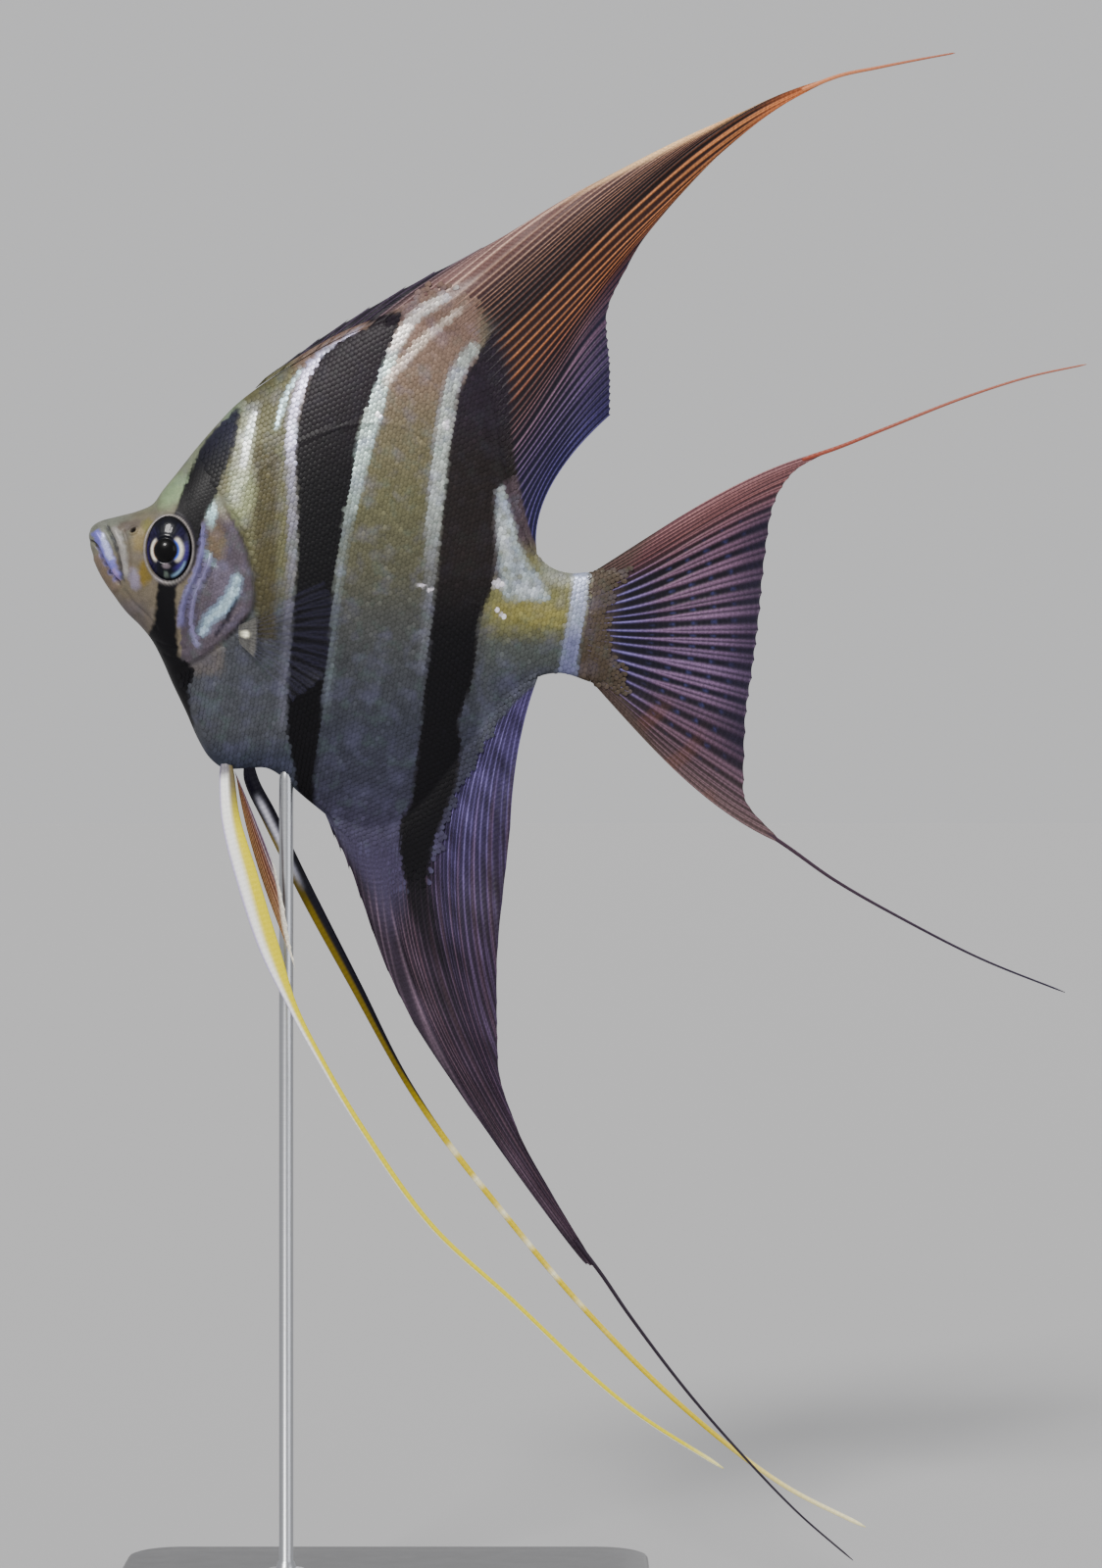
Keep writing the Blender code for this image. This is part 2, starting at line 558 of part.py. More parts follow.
def build_median_fins(parts, cutters):
    """Dorsal, anal and tail fins."""
    guides, root = on_contour(DORSAL_RAYS, back_line, 1)
    cut_fin("dorsal_fin", guides, root, DORSAL_GRID, DORSAL_CUTS, DORSAL_MIDDLES, DORSAL_LEAN_Y,
            DORSAL_COLOUR, parts, cutters)
    guides, root = on_contour(ANAL_RAYS, belly_line, -1)
    cut_fin("anal_fin", guides, root, ANAL_GRID, ANAL_CUTS, ANAL_MIDDLES, ANAL_LEAN_Y,
            ANAL_COLOUR, parts, cutters)
    cut_fin("tail_fin", TAIL_RAYS, lambda z: Vector((STALK_END + GAP, z)), TAIL_GRID, TAIL_CUTS,
            TAIL_MIDDLES, TAIL_LEAN_Y, TAIL_COLOUR, parts, cutters)


def build_pectorals(parts):
    """The two clear fans behind the gill covers."""
    point = ray_family(PECTORAL_RAYS, lambda z: Vector((PECTORAL_ROOT_X, z)))
    for label, side in (("left", -1), ("right", 1)):
        sheet = fin_sheet(
            f"pectoral_{label}", point, len(PECTORAL_RAYS) - 1, PECTORAL_GRID,
            lambda t, side=side: side * (PECTORAL_ROOT_Y + PECTORAL_FLARE_Y * t), parts)
        fin = solidify(sheet, WEB_THICKNESS)
        face_outward(fin)
        finish(fin, PECTORAL_COLOUR, FLESH_ROUGHNESS)


def build_pelvic_web(parts):
    """The short soft rays behind the left pelvic fin's spine."""
    point = ray_family(LEFT_WEB_RAYS, lambda z: Vector((LEFT_WEB_ROOT_X, z)))
    sheet = fin_sheet("pelvic_left_rays", point, len(LEFT_WEB_RAYS) - 1, LEFT_WEB_GRID,
                      lambda t: LEFT_WEB_Y[0] * (1 - t) + LEFT_WEB_Y[1] * t, parts)
    web = solidify(sheet, WEB_THICKNESS)
    face_outward(web)
    finish(web, LEFT_WEB_COLOUR, FIN_ROUGHNESS)


def tube(name, line, radii, flatness, sides, collection):
    """A closed tube along (x, y, z) points, flattened across the fish."""
    vertices = []
    for i, place in enumerate(line):
        after = line[min(i + 1, len(line) - 1)]
        before = line[max(i - 1, 0)]
        along = (after - before).normalized()
        wide = along.cross(Vector((0, 1, 0))).normalized()
        thick = along.cross(wide)
        for j in range(sides):
            angle = 2 * math.pi * j / sides
            around = math.cos(angle) * radii[i] * wide + math.sin(angle) * radii[i] * flatness[i] * thick
            vertices.append(tuple(place + around))
    faces = [tuple(range(sides)), tuple(range(len(vertices) - sides, len(vertices)))]
    for i in range(len(line) - 1):
        for j in range(sides):
            k = (j + 1) % sides
            faces.append((i * sides + j, i * sides + k, (i + 1) * sides + k, (i + 1) * sides + j))
    obj = new_object(name, vertices, faces, collection)
    face_outward(obj)
    return obj


def shorten(line, length):
    """Takes a length off the start of a line of points."""
    step = line[1] - line[0]
    return [line[0] + step.normalized() * length] + line[1:]


def ramp(ends, count):
    """Evenly stepped values from one end to the other."""
    return [ends[0] + (ends[1] - ends[0]) * i / (count - 1) for i in range(count)]


def build_filaments(parts):
    """The threads that the dorsal, anal and tail fins run out into."""
    for name, points, colour in (
        ("dorsal_filament", DORSAL_FILAMENT, DORSAL_COLOUR),
        ("anal_filament", ANAL_FILAMENT, ANAL_COLOUR),
        ("tail_filament_upper", TAIL_FILAMENT_UPPER, DORSAL_COLOUR),
        ("tail_filament_lower", TAIL_FILAMENT_LOWER, ANAL_COLOUR),
    ):
        line = flow(points, THREAD_STEPS)
        radii = ramp(SMALL_THREAD_RADIUS, len(line))
        thread = tube(name, line, radii, [1.0] * len(line), THREAD_SIDES, parts)
        finish(thread, colour, FIN_ROUGHNESS)


def build_pelvics(parts):
    """Each pelvic fin: a flat blade, then its thread in three lengths."""
    for label, points in (("left", PELVIC_LEFT), ("right", PELVIC_RIGHT)):
        line = flow(points, THREAD_STEPS)
        end = THREAD_STEPS * PELVIC_BLADE_SPANS
        width = monotone([(i * THREAD_STEPS, w) for i, w in enumerate(BLADE_HALF_WIDTH[label])])
        widths = [width(i) for i in range(end + 1)]
        flat = [BLADE_HALF_THICKNESS / w for w in widths]
        blade = tube(f"pelvic_{label}", line[:end + 1], widths, flat, BLADE_SIDES, parts)
        finish(blade, PELVIC_COLOUR, FIN_ROUGHNESS)
        thread = line[end:]
        radii = ramp(THREAD_RADIUS, len(thread))
        length = THREAD_STEPS * THREAD_SPANS
        for number in range(THREAD_LENGTHS):
            run = slice(number * length, (number + 1) * length + 1)
            piece = shorten(thread[run], GAP)
            name = f"pelvic_{label}_thread_{number + 1}"
            round_shape = [1.0] * len(piece)
            finish(tube(name, piece, radii[run], round_shape, THREAD_SIDES, parts),
                   THREAD_COLOUR, FIN_ROUGHNESS)


# ---------------------------------------------------------------- the stand

def build_stand(parts, cutters):
    """A flat base with round corners, and one rod cut to the shape of the belly above it."""
    length, width, height = BASE_SIZE
    bpy.ops.mesh.primitive_cube_add(size=1, location=(BASE_CENTRE_X / 1000, 0, height / 2000))
    base = bpy.context.object
    base.name = "stand_base"
    base.data.transform(Matrix.Diagonal((length / 1000, width / 1000, height / 1000, 1)))
    collect(base, parts)
    round_upright_edges(base)
    edge = base.modifiers.new("Edge", "BEVEL")
    edge.width = BASE_EDGE / 1000
    edge.segments = BASE_EDGE_FACETS
    edge.limit_method = "ANGLE"
    finish(base, BASE_COLOUR, BASE_ROUGHNESS)

    foot = to_world(ROD_X, 0, 0)
    top = to_world(ROD_X, 0, ROD_TOP_Z)
    bottom_z = (height + GAP) / 1000
    bpy.ops.mesh.primitive_cylinder_add(
        vertices=ROD_SIDES, radius=ROD_RADIUS / 1000, depth=top.z - bottom_z,
        location=(foot.x, 0, (top.z + bottom_z) / 2))
    rod = bpy.context.object
    rod.name = "stand_rod"
    collect(rod, parts)
    cut(rod, as_cutter(body_solid("cut_belly", cutters, grow=GAP)))
    finish(rod, ROD_COLOUR, ROD_ROUGHNESS, metallic=1.0)


def collect(obj, collection):
    """Moves an object into one collection."""
    for old in list(obj.users_collection):
        old.objects.unlink(obj)
    collection.objects.link(obj)


def round_upright_edges(base):
    """Rounds a plate's four corners."""
    bm = bmesh.new()
    bm.from_mesh(base.data)
    half_height = BASE_SIZE[2] / 2000
    upright = [e for e in bm.edges if abs(e.verts[0].co.z - e.verts[1].co.z) > half_height]
    bmesh.ops.bevel(bm, geom=upright, offset=BASE_CORNER / 1000, segments=BASE_CORNER_FACETS,
                    affect="EDGES", profile=0.5)
    bm.to_mesh(base.data)
    bm.free()


def new_collection(name):
    """A new collection in the scene."""
    collection = bpy.data.collections.new(name)
    bpy.context.scene.collection.children.link(collection)
    return collection


def main():
    """Empties the scene and builds the model."""
    for obj in list(bpy.data.objects):
        bpy.data.objects.remove(obj)
    parts = new_collection("altum_angelfish")
    cutters = new_collection("cutters")
    build_body(parts, cutters)
    build_eyes(parts)
    build_median_fins(parts, cutters)
    build_pectorals(parts)
    build_pelvic_web(parts)
    build_pelvics(parts)
    build_filaments(parts)
    build_stand(parts, cutters)


main()
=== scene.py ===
"""The looks of the altum angelfish: skin, scales, eyes, fins and stand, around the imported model.

Shapes are worked out in the fish's own frame, in millimetres: the origin is at the tip of the
snout, x runs back to the tail, z runs up, and y runs to the fish's right, as in the CAD.
Colours are screen values from 0 to 255, which srgb() turns into linear light.
"""
import math

import bpy
import numpy as np
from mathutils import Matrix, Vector


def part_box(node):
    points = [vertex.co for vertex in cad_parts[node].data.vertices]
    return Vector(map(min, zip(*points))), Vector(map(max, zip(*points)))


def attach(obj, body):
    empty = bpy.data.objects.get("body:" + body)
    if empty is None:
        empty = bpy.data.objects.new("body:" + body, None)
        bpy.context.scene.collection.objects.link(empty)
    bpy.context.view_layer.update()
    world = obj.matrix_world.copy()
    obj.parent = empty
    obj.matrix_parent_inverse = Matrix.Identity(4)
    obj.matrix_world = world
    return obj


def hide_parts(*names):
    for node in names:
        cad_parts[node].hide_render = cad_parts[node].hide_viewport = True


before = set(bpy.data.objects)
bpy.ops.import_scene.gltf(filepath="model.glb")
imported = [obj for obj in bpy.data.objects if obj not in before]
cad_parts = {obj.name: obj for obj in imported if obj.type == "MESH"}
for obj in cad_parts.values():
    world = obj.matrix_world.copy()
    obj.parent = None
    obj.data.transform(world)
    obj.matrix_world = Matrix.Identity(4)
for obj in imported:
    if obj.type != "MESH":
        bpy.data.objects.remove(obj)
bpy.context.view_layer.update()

# ---------- the body's driving dimensions (mm)

SNOUT = np.array([-112.0, 0.0, 240.3])  # the tip of the snout in the model's frame
STALK_END = 112.4  # where the tail stalk ends and the tail fin begins
# Profiles along the body, as (x, value): the edge of the back and of the belly, the height where
# it is thickest, half its thickness there, and the two exponents of its cross section.
BACK = [
    (0, -0.3), (0.6, 1.2), (2, 2.3), (6.4, 3.6), (11.2, 4.9), (14.3, 6.4), (16.5, 9.5),
    (19.6, 13.4), (24, 19.1), (28.4, 24.2), (32.8, 28.8), (37.6, 32.6), (46, 38.1),
    (55.9, 43.8), (62.5, 46.6), (69.1, 48.4), (75.7, 48.4), (81.6, 45.8), (86.7, 40.3),
    (90.4, 31.5), (92.6, 20.5), (94.4, 11.7), (96.8, 3.3), (100.1, -4.1), (103.6, -7.5),
    (107.6, -8.8), (STALK_END, -8.6),
]
BELLY = [
    (0, -1.3), (0.3, -3.2), (0.9, -5.2), (2.6, -9.4), (5.2, -13.7), (8.2, -17.8),
    (11.6, -21.2), (14, -24.2), (16.1, -28.1), (18.7, -34.1), (21.8, -40.7), (24.6, -47.1),
    (27.1, -51), (30.1, -53.2), (35, -53.3), (39.8, -53.2), (43.3, -55.2), (46.6, -58.3),
    (50.8, -61.8), (55.9, -65.6), (62.5, -68.2), (69.1, -66.9), (75.7, -61.4), (82.3, -52.8),
    (88.9, -43.8), (95.5, -36.5), (100.5, -32.8), (105.8, -31.9), (STALK_END, -33.9),
]
MIDLINE = [(0, -0.8), (4, -2.5), (12, -5), (22, -9), (36, -13), (60, -14),
           (90, -17), (STALK_END, -21)]
HALF_WIDTH = [(0, 0.5), (0.5, 1.7), (2, 2.9), (6, 4.5), (12, 6.2), (18, 7.4),
              (25, 8.3), (35, 8.7), (48, 8.4), (62, 7.4), (76, 6), (90, 4.5),
              (100, 3.4), (STALK_END, 2.4)]
FULLNESS = [(0, 2), (14, 2), (40, 1.7), (STALK_END, 1.8)]
RIM = [(0, 0.5), (14, 0.52), (40, 0.72), (100, 0.7), (STALK_END, 0.55)]
MIDLINE_MARGIN = 0.3  # the thickest height stays this share inside the edges
COAT_DEPTH = 0.3  # how far the skin lies inside the solids
NEAR_SIDE = 1.0078  # how much larger the photo shows the near side
PHOTO_AXIS = (103.6, -56.5)  # where the photo's camera looks, as (x, z)

# ---------- the lines of the head, as (x, z)

EYE_CENTRE = (18.5, -4.2)
EYE_REACH = (5.0, 6.85)  # half the eye that shows, along the head and upright
MOUTH = [(-1, -1.2), (1.2, -2.8), (2.8, -6), (4.6, -9), (7, -12)]
UPPER_LIP = [(0.6, 1), (1.8, -1), (3.2, -4.4), (4.8, -7.6), (6.6, -10.8)]
LOWER_LIP = [(0.6, -4.6), (2, -7.6), (3.8, -10.6), (6.2, -13.4)]
LIP_GROOVE = [(2.9, 2.6), (4.6, -0.4), (5.9, -3.7), (6.6, -7), (7.5, -11.9)]
LIP_FOLD = [(4.8, 1.8), (6.6, -2), (7.5, -6), (8, -10.6)]
LIP_LOBE = ((10, -10.6), (1.7, 2.8), 15)  # centre, half sizes and turn of the lip's swollen end
CHEEK_GROOVE = [(7.2, 1.4), (8.5, -3), (8.9, -7.4), (9, -12.6)]
CHIN_FOLD = [(7, -12), (9.4, -15.6), (12.6, -18.6), (15.4, -22.4)]
NOSTRIL = (9.6, 0.6)
NOSTRIL_TURN_DEG = 40
CHEEK_RIDGE = [(25.2, 3), (25.2, -3.7), (24, -9.2), (22, -13.6), (20.8, -17.2), (20.6, -22)]
COVER_RIDGE = [(27.6, -4.6), (26.2, -8.6), (24, -13.2), (22.9, -17.6), (23.2, -23),
               (25, -26.6)]
COVER_CREASE = [(33.2, -14.6), (32.1, -17.2), (30.6, -20.2), (28.2, -23.7)]
GILL_EDGE = [(29, 8.5), (31, 5), (32.9, 1.5), (35, -4), (36.7, -12), (36.4, -17.5),
             (33.5, -20.8), (29.3, -24.8), (23.5, -28.8), (17.5, -30.6)]
THROAT_FOLDS = [
    [(14.5, -24.4), (18.4, -25.8), (22.6, -26.2)],
    [(16, -27.2), (19.6, -28.4), (23.4, -28.2)],
]
LATERAL_LINE = [(31, 7), (37, 13), (44, 18.5), (52, 22.5), (62, 24.8), (72, 23.5),
                (80, 18), (85, 11)]
LATERAL_LINE_REAR = [(84, -15), (92, -18), (101, -20.5), (110, -21.6)]

# Each raised or sunken line: its curve, half width, height, and how far it is moved to its left.
RELIEF = [
    (UPPER_LIP, 0.85, 0.55, 0), (LOWER_LIP, 0.9, 0.45, 0), (MOUTH, 0.32, -0.8, 0),
    (LIP_GROOVE, 0.34, -0.6, 0), (LIP_FOLD, 0.6, 0.3, 0), (CHEEK_GROOVE, 0.4, -0.28, 0),
    (CHIN_FOLD, 0.4, -0.3, 0), (CHEEK_RIDGE, 0.5, 0.42, 0), (CHEEK_RIDGE, 0.45, -0.3, 1.1),
    (COVER_RIDGE, 0.5, 0.36, 0), (COVER_RIDGE, 0.4, -0.25, 1), (COVER_CREASE, 0.42, -0.6, 0),
    (LATERAL_LINE, 0.45, 0.1, 0), (LATERAL_LINE_REAR, 0.45, 0.1, 0),
    *((curve, 0.3, -0.25, 0) for curve in THROAT_FOLDS),
]


# ---------- small tools


def monotone(points):
    """The smooth function through (place, value) points that never overshoots them."""
    xs, ys = np.array(sorted(points), float).T
    slopes = np.diff(ys) / np.diff(xs)
    tangents = np.concatenate(([slopes[0]], np.zeros(len(slopes) - 1), [slopes[-1]]))
    before, after = slopes[:-1], slopes[1:]
    same_way = before * after > 0
    total = np.where(same_way, before + after, 1.0)
    tangents[1:-1] = np.where(same_way, 2 * before * after / total, 0.0)

    def value(x):
        x = np.asarray(x, float)
        i = np.clip(np.searchsorted(xs, x, side="right") - 1, 0, len(xs) - 2)
        span = xs[i + 1] - xs[i]
        t = np.clip((x - xs[i]) / span, 0.0, 1.0)
        rise = ys[i] * (2 * t**3 - 3 * t**2 + 1) + ys[i + 1] * (3 * t**2 - 2 * t**3)
        bend = tangents[i] * (t**3 - 2 * t**2 + t) + tangents[i + 1] * (t**3 - t**2)
        return rise + span * bend

    return value


def flow(points, steps):
    """Points on a smooth curve through the given ones, with that many steps to each span."""
    knots = np.array(points, float)
    ends = np.vstack((2 * knots[0] - knots[1], knots, 2 * knots[-1] - knots[-2]))
    line = []
    for a, b, c, d in zip(ends, ends[1:], ends[2:], ends[3:]):
        reach = np.linalg.norm(c - b)
        start = (c - b + (b - a) * reach / np.linalg.norm(b - a)) / 2
        finish = (c - b + (d - c) * reach / np.linalg.norm(d - c)) / 2
        for t in np.arange(steps) / steps:
            line.append(b * (2 * t**3 - 3 * t**2 + 1) + c * (3 * t**2 - 2 * t**3)
                        + start * (t**3 - 2 * t**2 + t) + finish * (t**3 - t**2))
    return np.array(line + [knots[-1]])


def soft(value, low, high):
    """0 below low, 1 above high, and a smooth step between them; low may be above high."""
    t = np.clip((value - low) / (high - low), 0.0, 1.0)
    return t * t * (3 - 2 * t)


def hump(value, centre, width):
    """A bell: 1 at a centre, and falling away over a width on both sides."""
    return np.exp(-((value - centre) / width) ** 2)


def ripple(x, z, size, seed=0.0):
    """A smooth uneven pattern from about -1 to 1, whose waves are about that many millimetres."""
    k = 2 * math.pi / size
    total = 0.0
    for n, (angle, share) in enumerate(((0.3, 1.0), (1.4, 0.8), (2.5, 0.9), (3.9, 0.7))):
        across = x * math.cos(angle + seed) + z * math.sin(angle + seed)
        total = total + share * np.sin(k * across * (1 + 0.37 * n) + 1.7 * n + 5 * seed)
    return total / 2.2


def near_curve(curve, x, z):
    """How far points are from a curve, positive on its left going along it, and 0 to 1 along it."""
    line = flow(curve, 5)
    best = np.full(np.shape(x), np.inf)
    side = np.ones(np.shape(x))
    place = np.zeros(np.shape(x))
    for i, (a, b) in enumerate(zip(line, line[1:])):
        d = b - a
        t = np.clip(((x - a[0]) * d[0] + (z - a[1]) * d[1]) / (d @ d), 0.0, 1.0)
        dx = x - a[0] - t * d[0]
        dz = z - a[1] - t * d[1]
        distance = np.hypot(dx, dz)
        closer = distance < best
        best = np.where(closer, distance, best)
        side = np.where(closer, np.where(d[0] * dz - d[1] * dx >= 0, 1.0, -1.0), side)
        place = np.where(closer, (i + t) / (len(line) - 1), place)
    return best * side, place


def close_to(curve, x, z, margin):
    """Which points are in the curve's own box, made larger by a margin."""
    line = flow(curve, 3)
    low, high = line.min(0) - margin, line.max(0) + margin
    return (x > low[0]) & (x < high[0]) & (z > low[1]) & (z < high[1])


def in_oval(x, z, centre, reach, angle_deg=0.0):
    """Distance from a centre, as a share of an oval's half sizes."""
    turn = math.radians(angle_deg)
    dx, dz = x - centre[0], z - centre[1]
    along = dx * math.cos(turn) + dz * math.sin(turn)
    across = dz * math.cos(turn) - dx * math.sin(turn)
    return np.hypot(along / reach[0], across / reach[1])


def as_seen(x, z):
    """Where the photo shows a point of the near side, against the middle plane."""
    seen_x = PHOTO_AXIS[0] + (x - PHOTO_AXIS[0]) * NEAR_SIDE
    seen_z = PHOTO_AXIS[1] + (z - PHOTO_AXIS[1]) * NEAR_SIDE
    return seen_x, seen_z


def srgb(red, green, blue):
    """A colour of 0 to 255 screen values as linear light."""
    screen = np.array([red, green, blue]) / 255
    return np.where(screen <= 0.04045, screen / 12.92, ((screen + 0.055) / 1.055) ** 2.4)


def blend(first, second, share):
    """Mixes two colours or colour fields."""
    return first + share[..., None] * (second - first)


def tint(field, colour, share):
    """Mixes one screen colour into a colour field."""
    return blend(field, srgb(*colour), share)


def shades(number, stops):
    """A colour at each ray number, from stops of (number, red, green, blue)."""
    at = [stop[0] for stop in stops]
    table = np.array([srgb(*stop[1:]) for stop in stops])
    return np.stack([np.interp(number, at, table[:, k]) for k in range(3)], -1)


def to_model(points):
    """Points of the fish's frame, in millimetres, as points of the model's frame, in metres."""
    return (np.asarray(points) + SNOUT) / 1000


def from_model(points):
    """Points of the model's frame, in metres, as points of the fish's frame, in millimetres."""
    return np.asarray(points) * 1000 - SNOUT


# ---------- the body's form

back_line = flow(BACK, 6)
belly_line = flow(BELLY, 6)
midline = monotone(MIDLINE)
half_width = monotone(HALF_WIDTH)
fullness = monotone(FULLNESS)
rim = monotone(RIM)


def edges_at(x):
    """The z of the back and of the belly at x."""
    top = np.interp(x, back_line[:, 0], back_line[:, 1])
    bottom = np.interp(x, belly_line[:, 0], belly_line[:, 1])
    return top, bottom


def middle_at(x, top, bottom):
    """The z where the body is thickest."""
    margin = MIDLINE_MARGIN * (top - bottom)
    return np.clip(midline(x), bottom + margin, top - margin)


def half_thickness(x, z, grow=0.0):
    """Half the body's thickness at a point of its side; 0 outside its outline."""
    top, bottom = edges_at(x)
    top, bottom = top + grow, bottom - grow
    middle = middle_at(x, top, bottom)
    u = np.where(z > middle, (z - middle) / (top - middle), (middle - z) / (middle - bottom))
    lens = np.clip(1 - np.clip(u, 0, 1) ** fullness(x), 0, 1) ** rim(x)
    return (half_width(x) + grow) * lens


def outside(x, z):
    """How far a point is outside the body's outline, and below 0 inside it."""
    above = near_curve(BACK, x, z)[0]
    below = -near_curve(BELLY, x, z)[0]
    return np.maximum(above, below)


def eye_share(x, z):
    """Distance from the eye's centre, as a share of its edge."""
    return in_oval(x, z, EYE_CENTRE, EYE_REACH)


def relief(x, z):
    """How far the skin stands out from the plain body, in millimetres: lips, folds, gill covers."""
    total = np.zeros(np.shape(x))
    seen_x, seen_z = as_seen(x, z)
    for curve, half, height, offset in RELIEF:
        close = close_to(curve, seen_x, seen_z, 3 * half + abs(offset))
        d, place = near_curve(curve, seen_x[close], seen_z[close])
        ends = soft(place, 0.0, 0.12) * soft(place, 1.0, 0.88)
        total[close] += height * hump(d, offset, half) * ends
    close = close_to(GILL_EDGE, seen_x, seen_z, 6.0)
    d, place = near_curve(GILL_EDGE, seen_x[close], seen_z[close])
    ends = soft(place, 0.0, 0.2) * soft(place, 1.0, 0.85)
    plate = soft(d, 0.25, -0.15) * soft(d, -5.0, -1.5)
    total[close] += ends * (0.55 * plate - 0.35 * hump(d, 0.35, 0.4))
    total += 0.3 * soft(in_oval(seen_x, seen_z, *LIP_LOBE), 1.2, 0.3)
    hole = in_oval(seen_x, seen_z, NOSTRIL, (0.55, 0.4), NOSTRIL_TURN_DEG)
    total += 0.22 * hump(hole, 1.7, 0.55) - 0.9 * soft(hole, 1.2, 0.5)
    eye = eye_share(x, z)
    return total + 0.42 * hump(eye, 1.1, 0.055) - 2.6 * soft(eye, 1.05, 0.9)


# ---------- the places of the markings

# Each bar: its front and its rear edge, as (z, x).
EYE_BAR = (
    [(27.5, 31.9), (22.7, 27), (18.3, 24.2), (13.9, 22.2), (9.5, 20.7), (5.5, 19.4), (0, 17.4),
     (-8, 15.6), (-12.5, 15.2), (-16.9, 14.7), (-20, 14.2), (-23.5, 12.6), (-27.9, 13.2),
     (-34.5, 16), (-46.6, 21)],
    [(28.2, 33.2), (23.8, 32.7), (18.3, 31.6), (13.9, 29.9), (9.5, 28.6), (2.9, 25.6), (-3.7, 24.5),
     (-8, 23.2), (-11, 20.8), (-12.5, 19.4), (-23.5, 19.6), (-27.9, 20), (-29.6, 22.4),
     (-32, 23.2), (-34.5, 21.9), (-46.6, 23.4)],
)
BROAD_BAR = (
    [(46.5, 62.6), (45, 59.6), (42.5, 54.8), (38.1, 50.6), (31.5, 48.2), (24.9, 46.7), (18.3, 46.1),
     (5.1, 46.5), (-3.7, 46.6), (-12.5, 46), (-21.3, 45.3), (-30.1, 44.7), (-43.3, 44),
     (-49.9, 44.9), (-56.5, 46), (-61.5, 48)],
    [(50, 70), (44.7, 67.8), (40.3, 66.2), (32.6, 63.3), (28.2, 61.6), (24.9, 60.5), (18.3, 59.4),
     (9.5, 58.2), (5.1, 57), (-0.4, 56.3), (-5.9, 55.4), (-10.3, 54.8), (-16.9, 54.1),
     (-23.5, 53.7), (-30.1, 53), (-36.7, 51.9), (-43.3, 51.5), (-49.9, 50.6), (-56.5, 49.9),
     (-62.5, 50.6)],
)
REAR_BAR = (
    [(46, 90.6), (42.5, 88.4), (36.3, 84.8), (31.5, 82.7), (24.9, 81.6), (16.1, 80.1), (9.5, 79.4),
     (0.7, 78.5), (-8.1, 77.9), (-16.9, 77), (-25.7, 76.1), (-32.3, 75.2), (-38.9, 74.6),
     (-45.5, 73.9), (-52.1, 73), (-60.9, 71.9), (-65.3, 69.5), (-71.9, 69.5), (-78.5, 70.8),
     (-85.1, 71.9), (-91.7, 74.1), (-98.3, 76.1), (-112, 82), (-127, 89)],
    [(46, 103), (42.5, 102), (31.5, 100), (20, 99), (14.5, 97), (9, 90.4), (5.1, 90.4),
     (-3.7, 90.6), (-12, 90), (-16.5, 88.2), (-21.3, 86.7), (-30.1, 86), (-34.5, 85.1),
     (-38.9, 83.4), (-43.3, 82.3), (-47.7, 82.9), (-56.5, 81.6), (-60.9, 80.1), (-65.3, 78.5),
     (-69.7, 76.8), (-78.5, 75.7), (-85.1, 77.2), (-93.9, 79), (-100.5, 81.2), (-112, 85.6),
     (-127, 90.6)],
)
WEDGE = (
    [(13, 91.3), (9.5, 91.2), (5.1, 91.3), (-3.7, 91.6), (-12.5, 92), (-15, 93.2)],
    [(13, 91.8), (9.5, 92.8), (5.1, 94.2), (0.7, 95.3), (-3.7, 96.6), (-8.1, 99.4),
     (-12.5, 102.4), (-15, 103.2)],
)
TAIL_ROOT_BAR = (
    [(-8, 108.6), (-16.9, 107.6), (-21.3, 106.9), (-27.9, 105.8), (-34, 104.8)],
    [(-8, 112.2), (-16.9, 111.1), (-21.3, 110.3), (-27.9, 109.3), (-34, 108.6)],
)

# The silver and lilac lines, as (x, z).
SHOULDER_SILVER = [(35.6, 30.4), (34.8, 24.9), (34.2, 18.3), (33.2, 11.7), (32.2, 5.1)]
SHOULDER_GLINT = [(36.6, 28), (35.6, 23), (34.8, 18.4), (34.2, 14)]
FRONT_LINE = [(60.6, 46.2), (55.9, 43.2), (52.1, 40.9), (48.8, 37.2), (46.9, 32.6), (45.5, 27.1),
              (45, 20.5), (45.1, 13.9), (45.4, 0), (44.9, -12.5), (44.2, -21.3), (43.3, -34),
              (42.8, -47)]
FRONT_LINE_TWIN = [(47.6, 38), (45.1, 34.1), (43.3, 30.4), (42.2, 26.6), (41.4, 23)]
MIDDLE_LINE = [(68, 42), (66, 37.2), (64.7, 32.6), (63.2, 26.3), (61.6, 21.1), (60.4, 16.1),
               (59.2, 9.5), (57.2, 0.7), (56, -8.1), (55, -16.9), (53.8, -30.1), (52.3, -43.3)]
MIDDLE_LINE_FRONT = [(66.4, 37.8), (68.8, 43.4), (72.4, 48.6), (78, 52.6), (84, 56.2), (90, 60)]
MIDDLE_LINE_REAR = [(64.8, 31.5), (67.2, 35.4), (70.8, 39.4), (75, 44.2), (80.4, 48.6),
                    (85.6, 52.8)]
REAR_LINE = [(87, 43.6), (83.6, 38.9), (81.2, 33.7), (80, 27.9), (78.9, 20.5), (78.4, 13.9),
             (77.3, 5.1), (76.7, -3.7), (76.1, -12.5), (75.2, -21.3), (74, -34)]
GILL_BLAZE = [(33.3, -9), (32.2, -13.4), (29.8, -17), (26.8, -19.4), (24.6, -23.6)]
LIP_SHINE = [(2.4, 0.2), (3.6, -3.2), (4.9, -6.4)]
LIP_BLUSH = [(5, -7.8), (6.4, -10.8)]
SPARKLES = [((74.4, -11.8), (1, 0.5)), ((76.2, -12.9), (0.5, 0.4)), ((92.4, -18.6), (0.9, 0.6)),
            ((91.2, -17.2), (0.5, 0.5)), ((64.5, 26.6), (0.8, 0.7)), ((79.6, 24.6), (0.7, 1))]
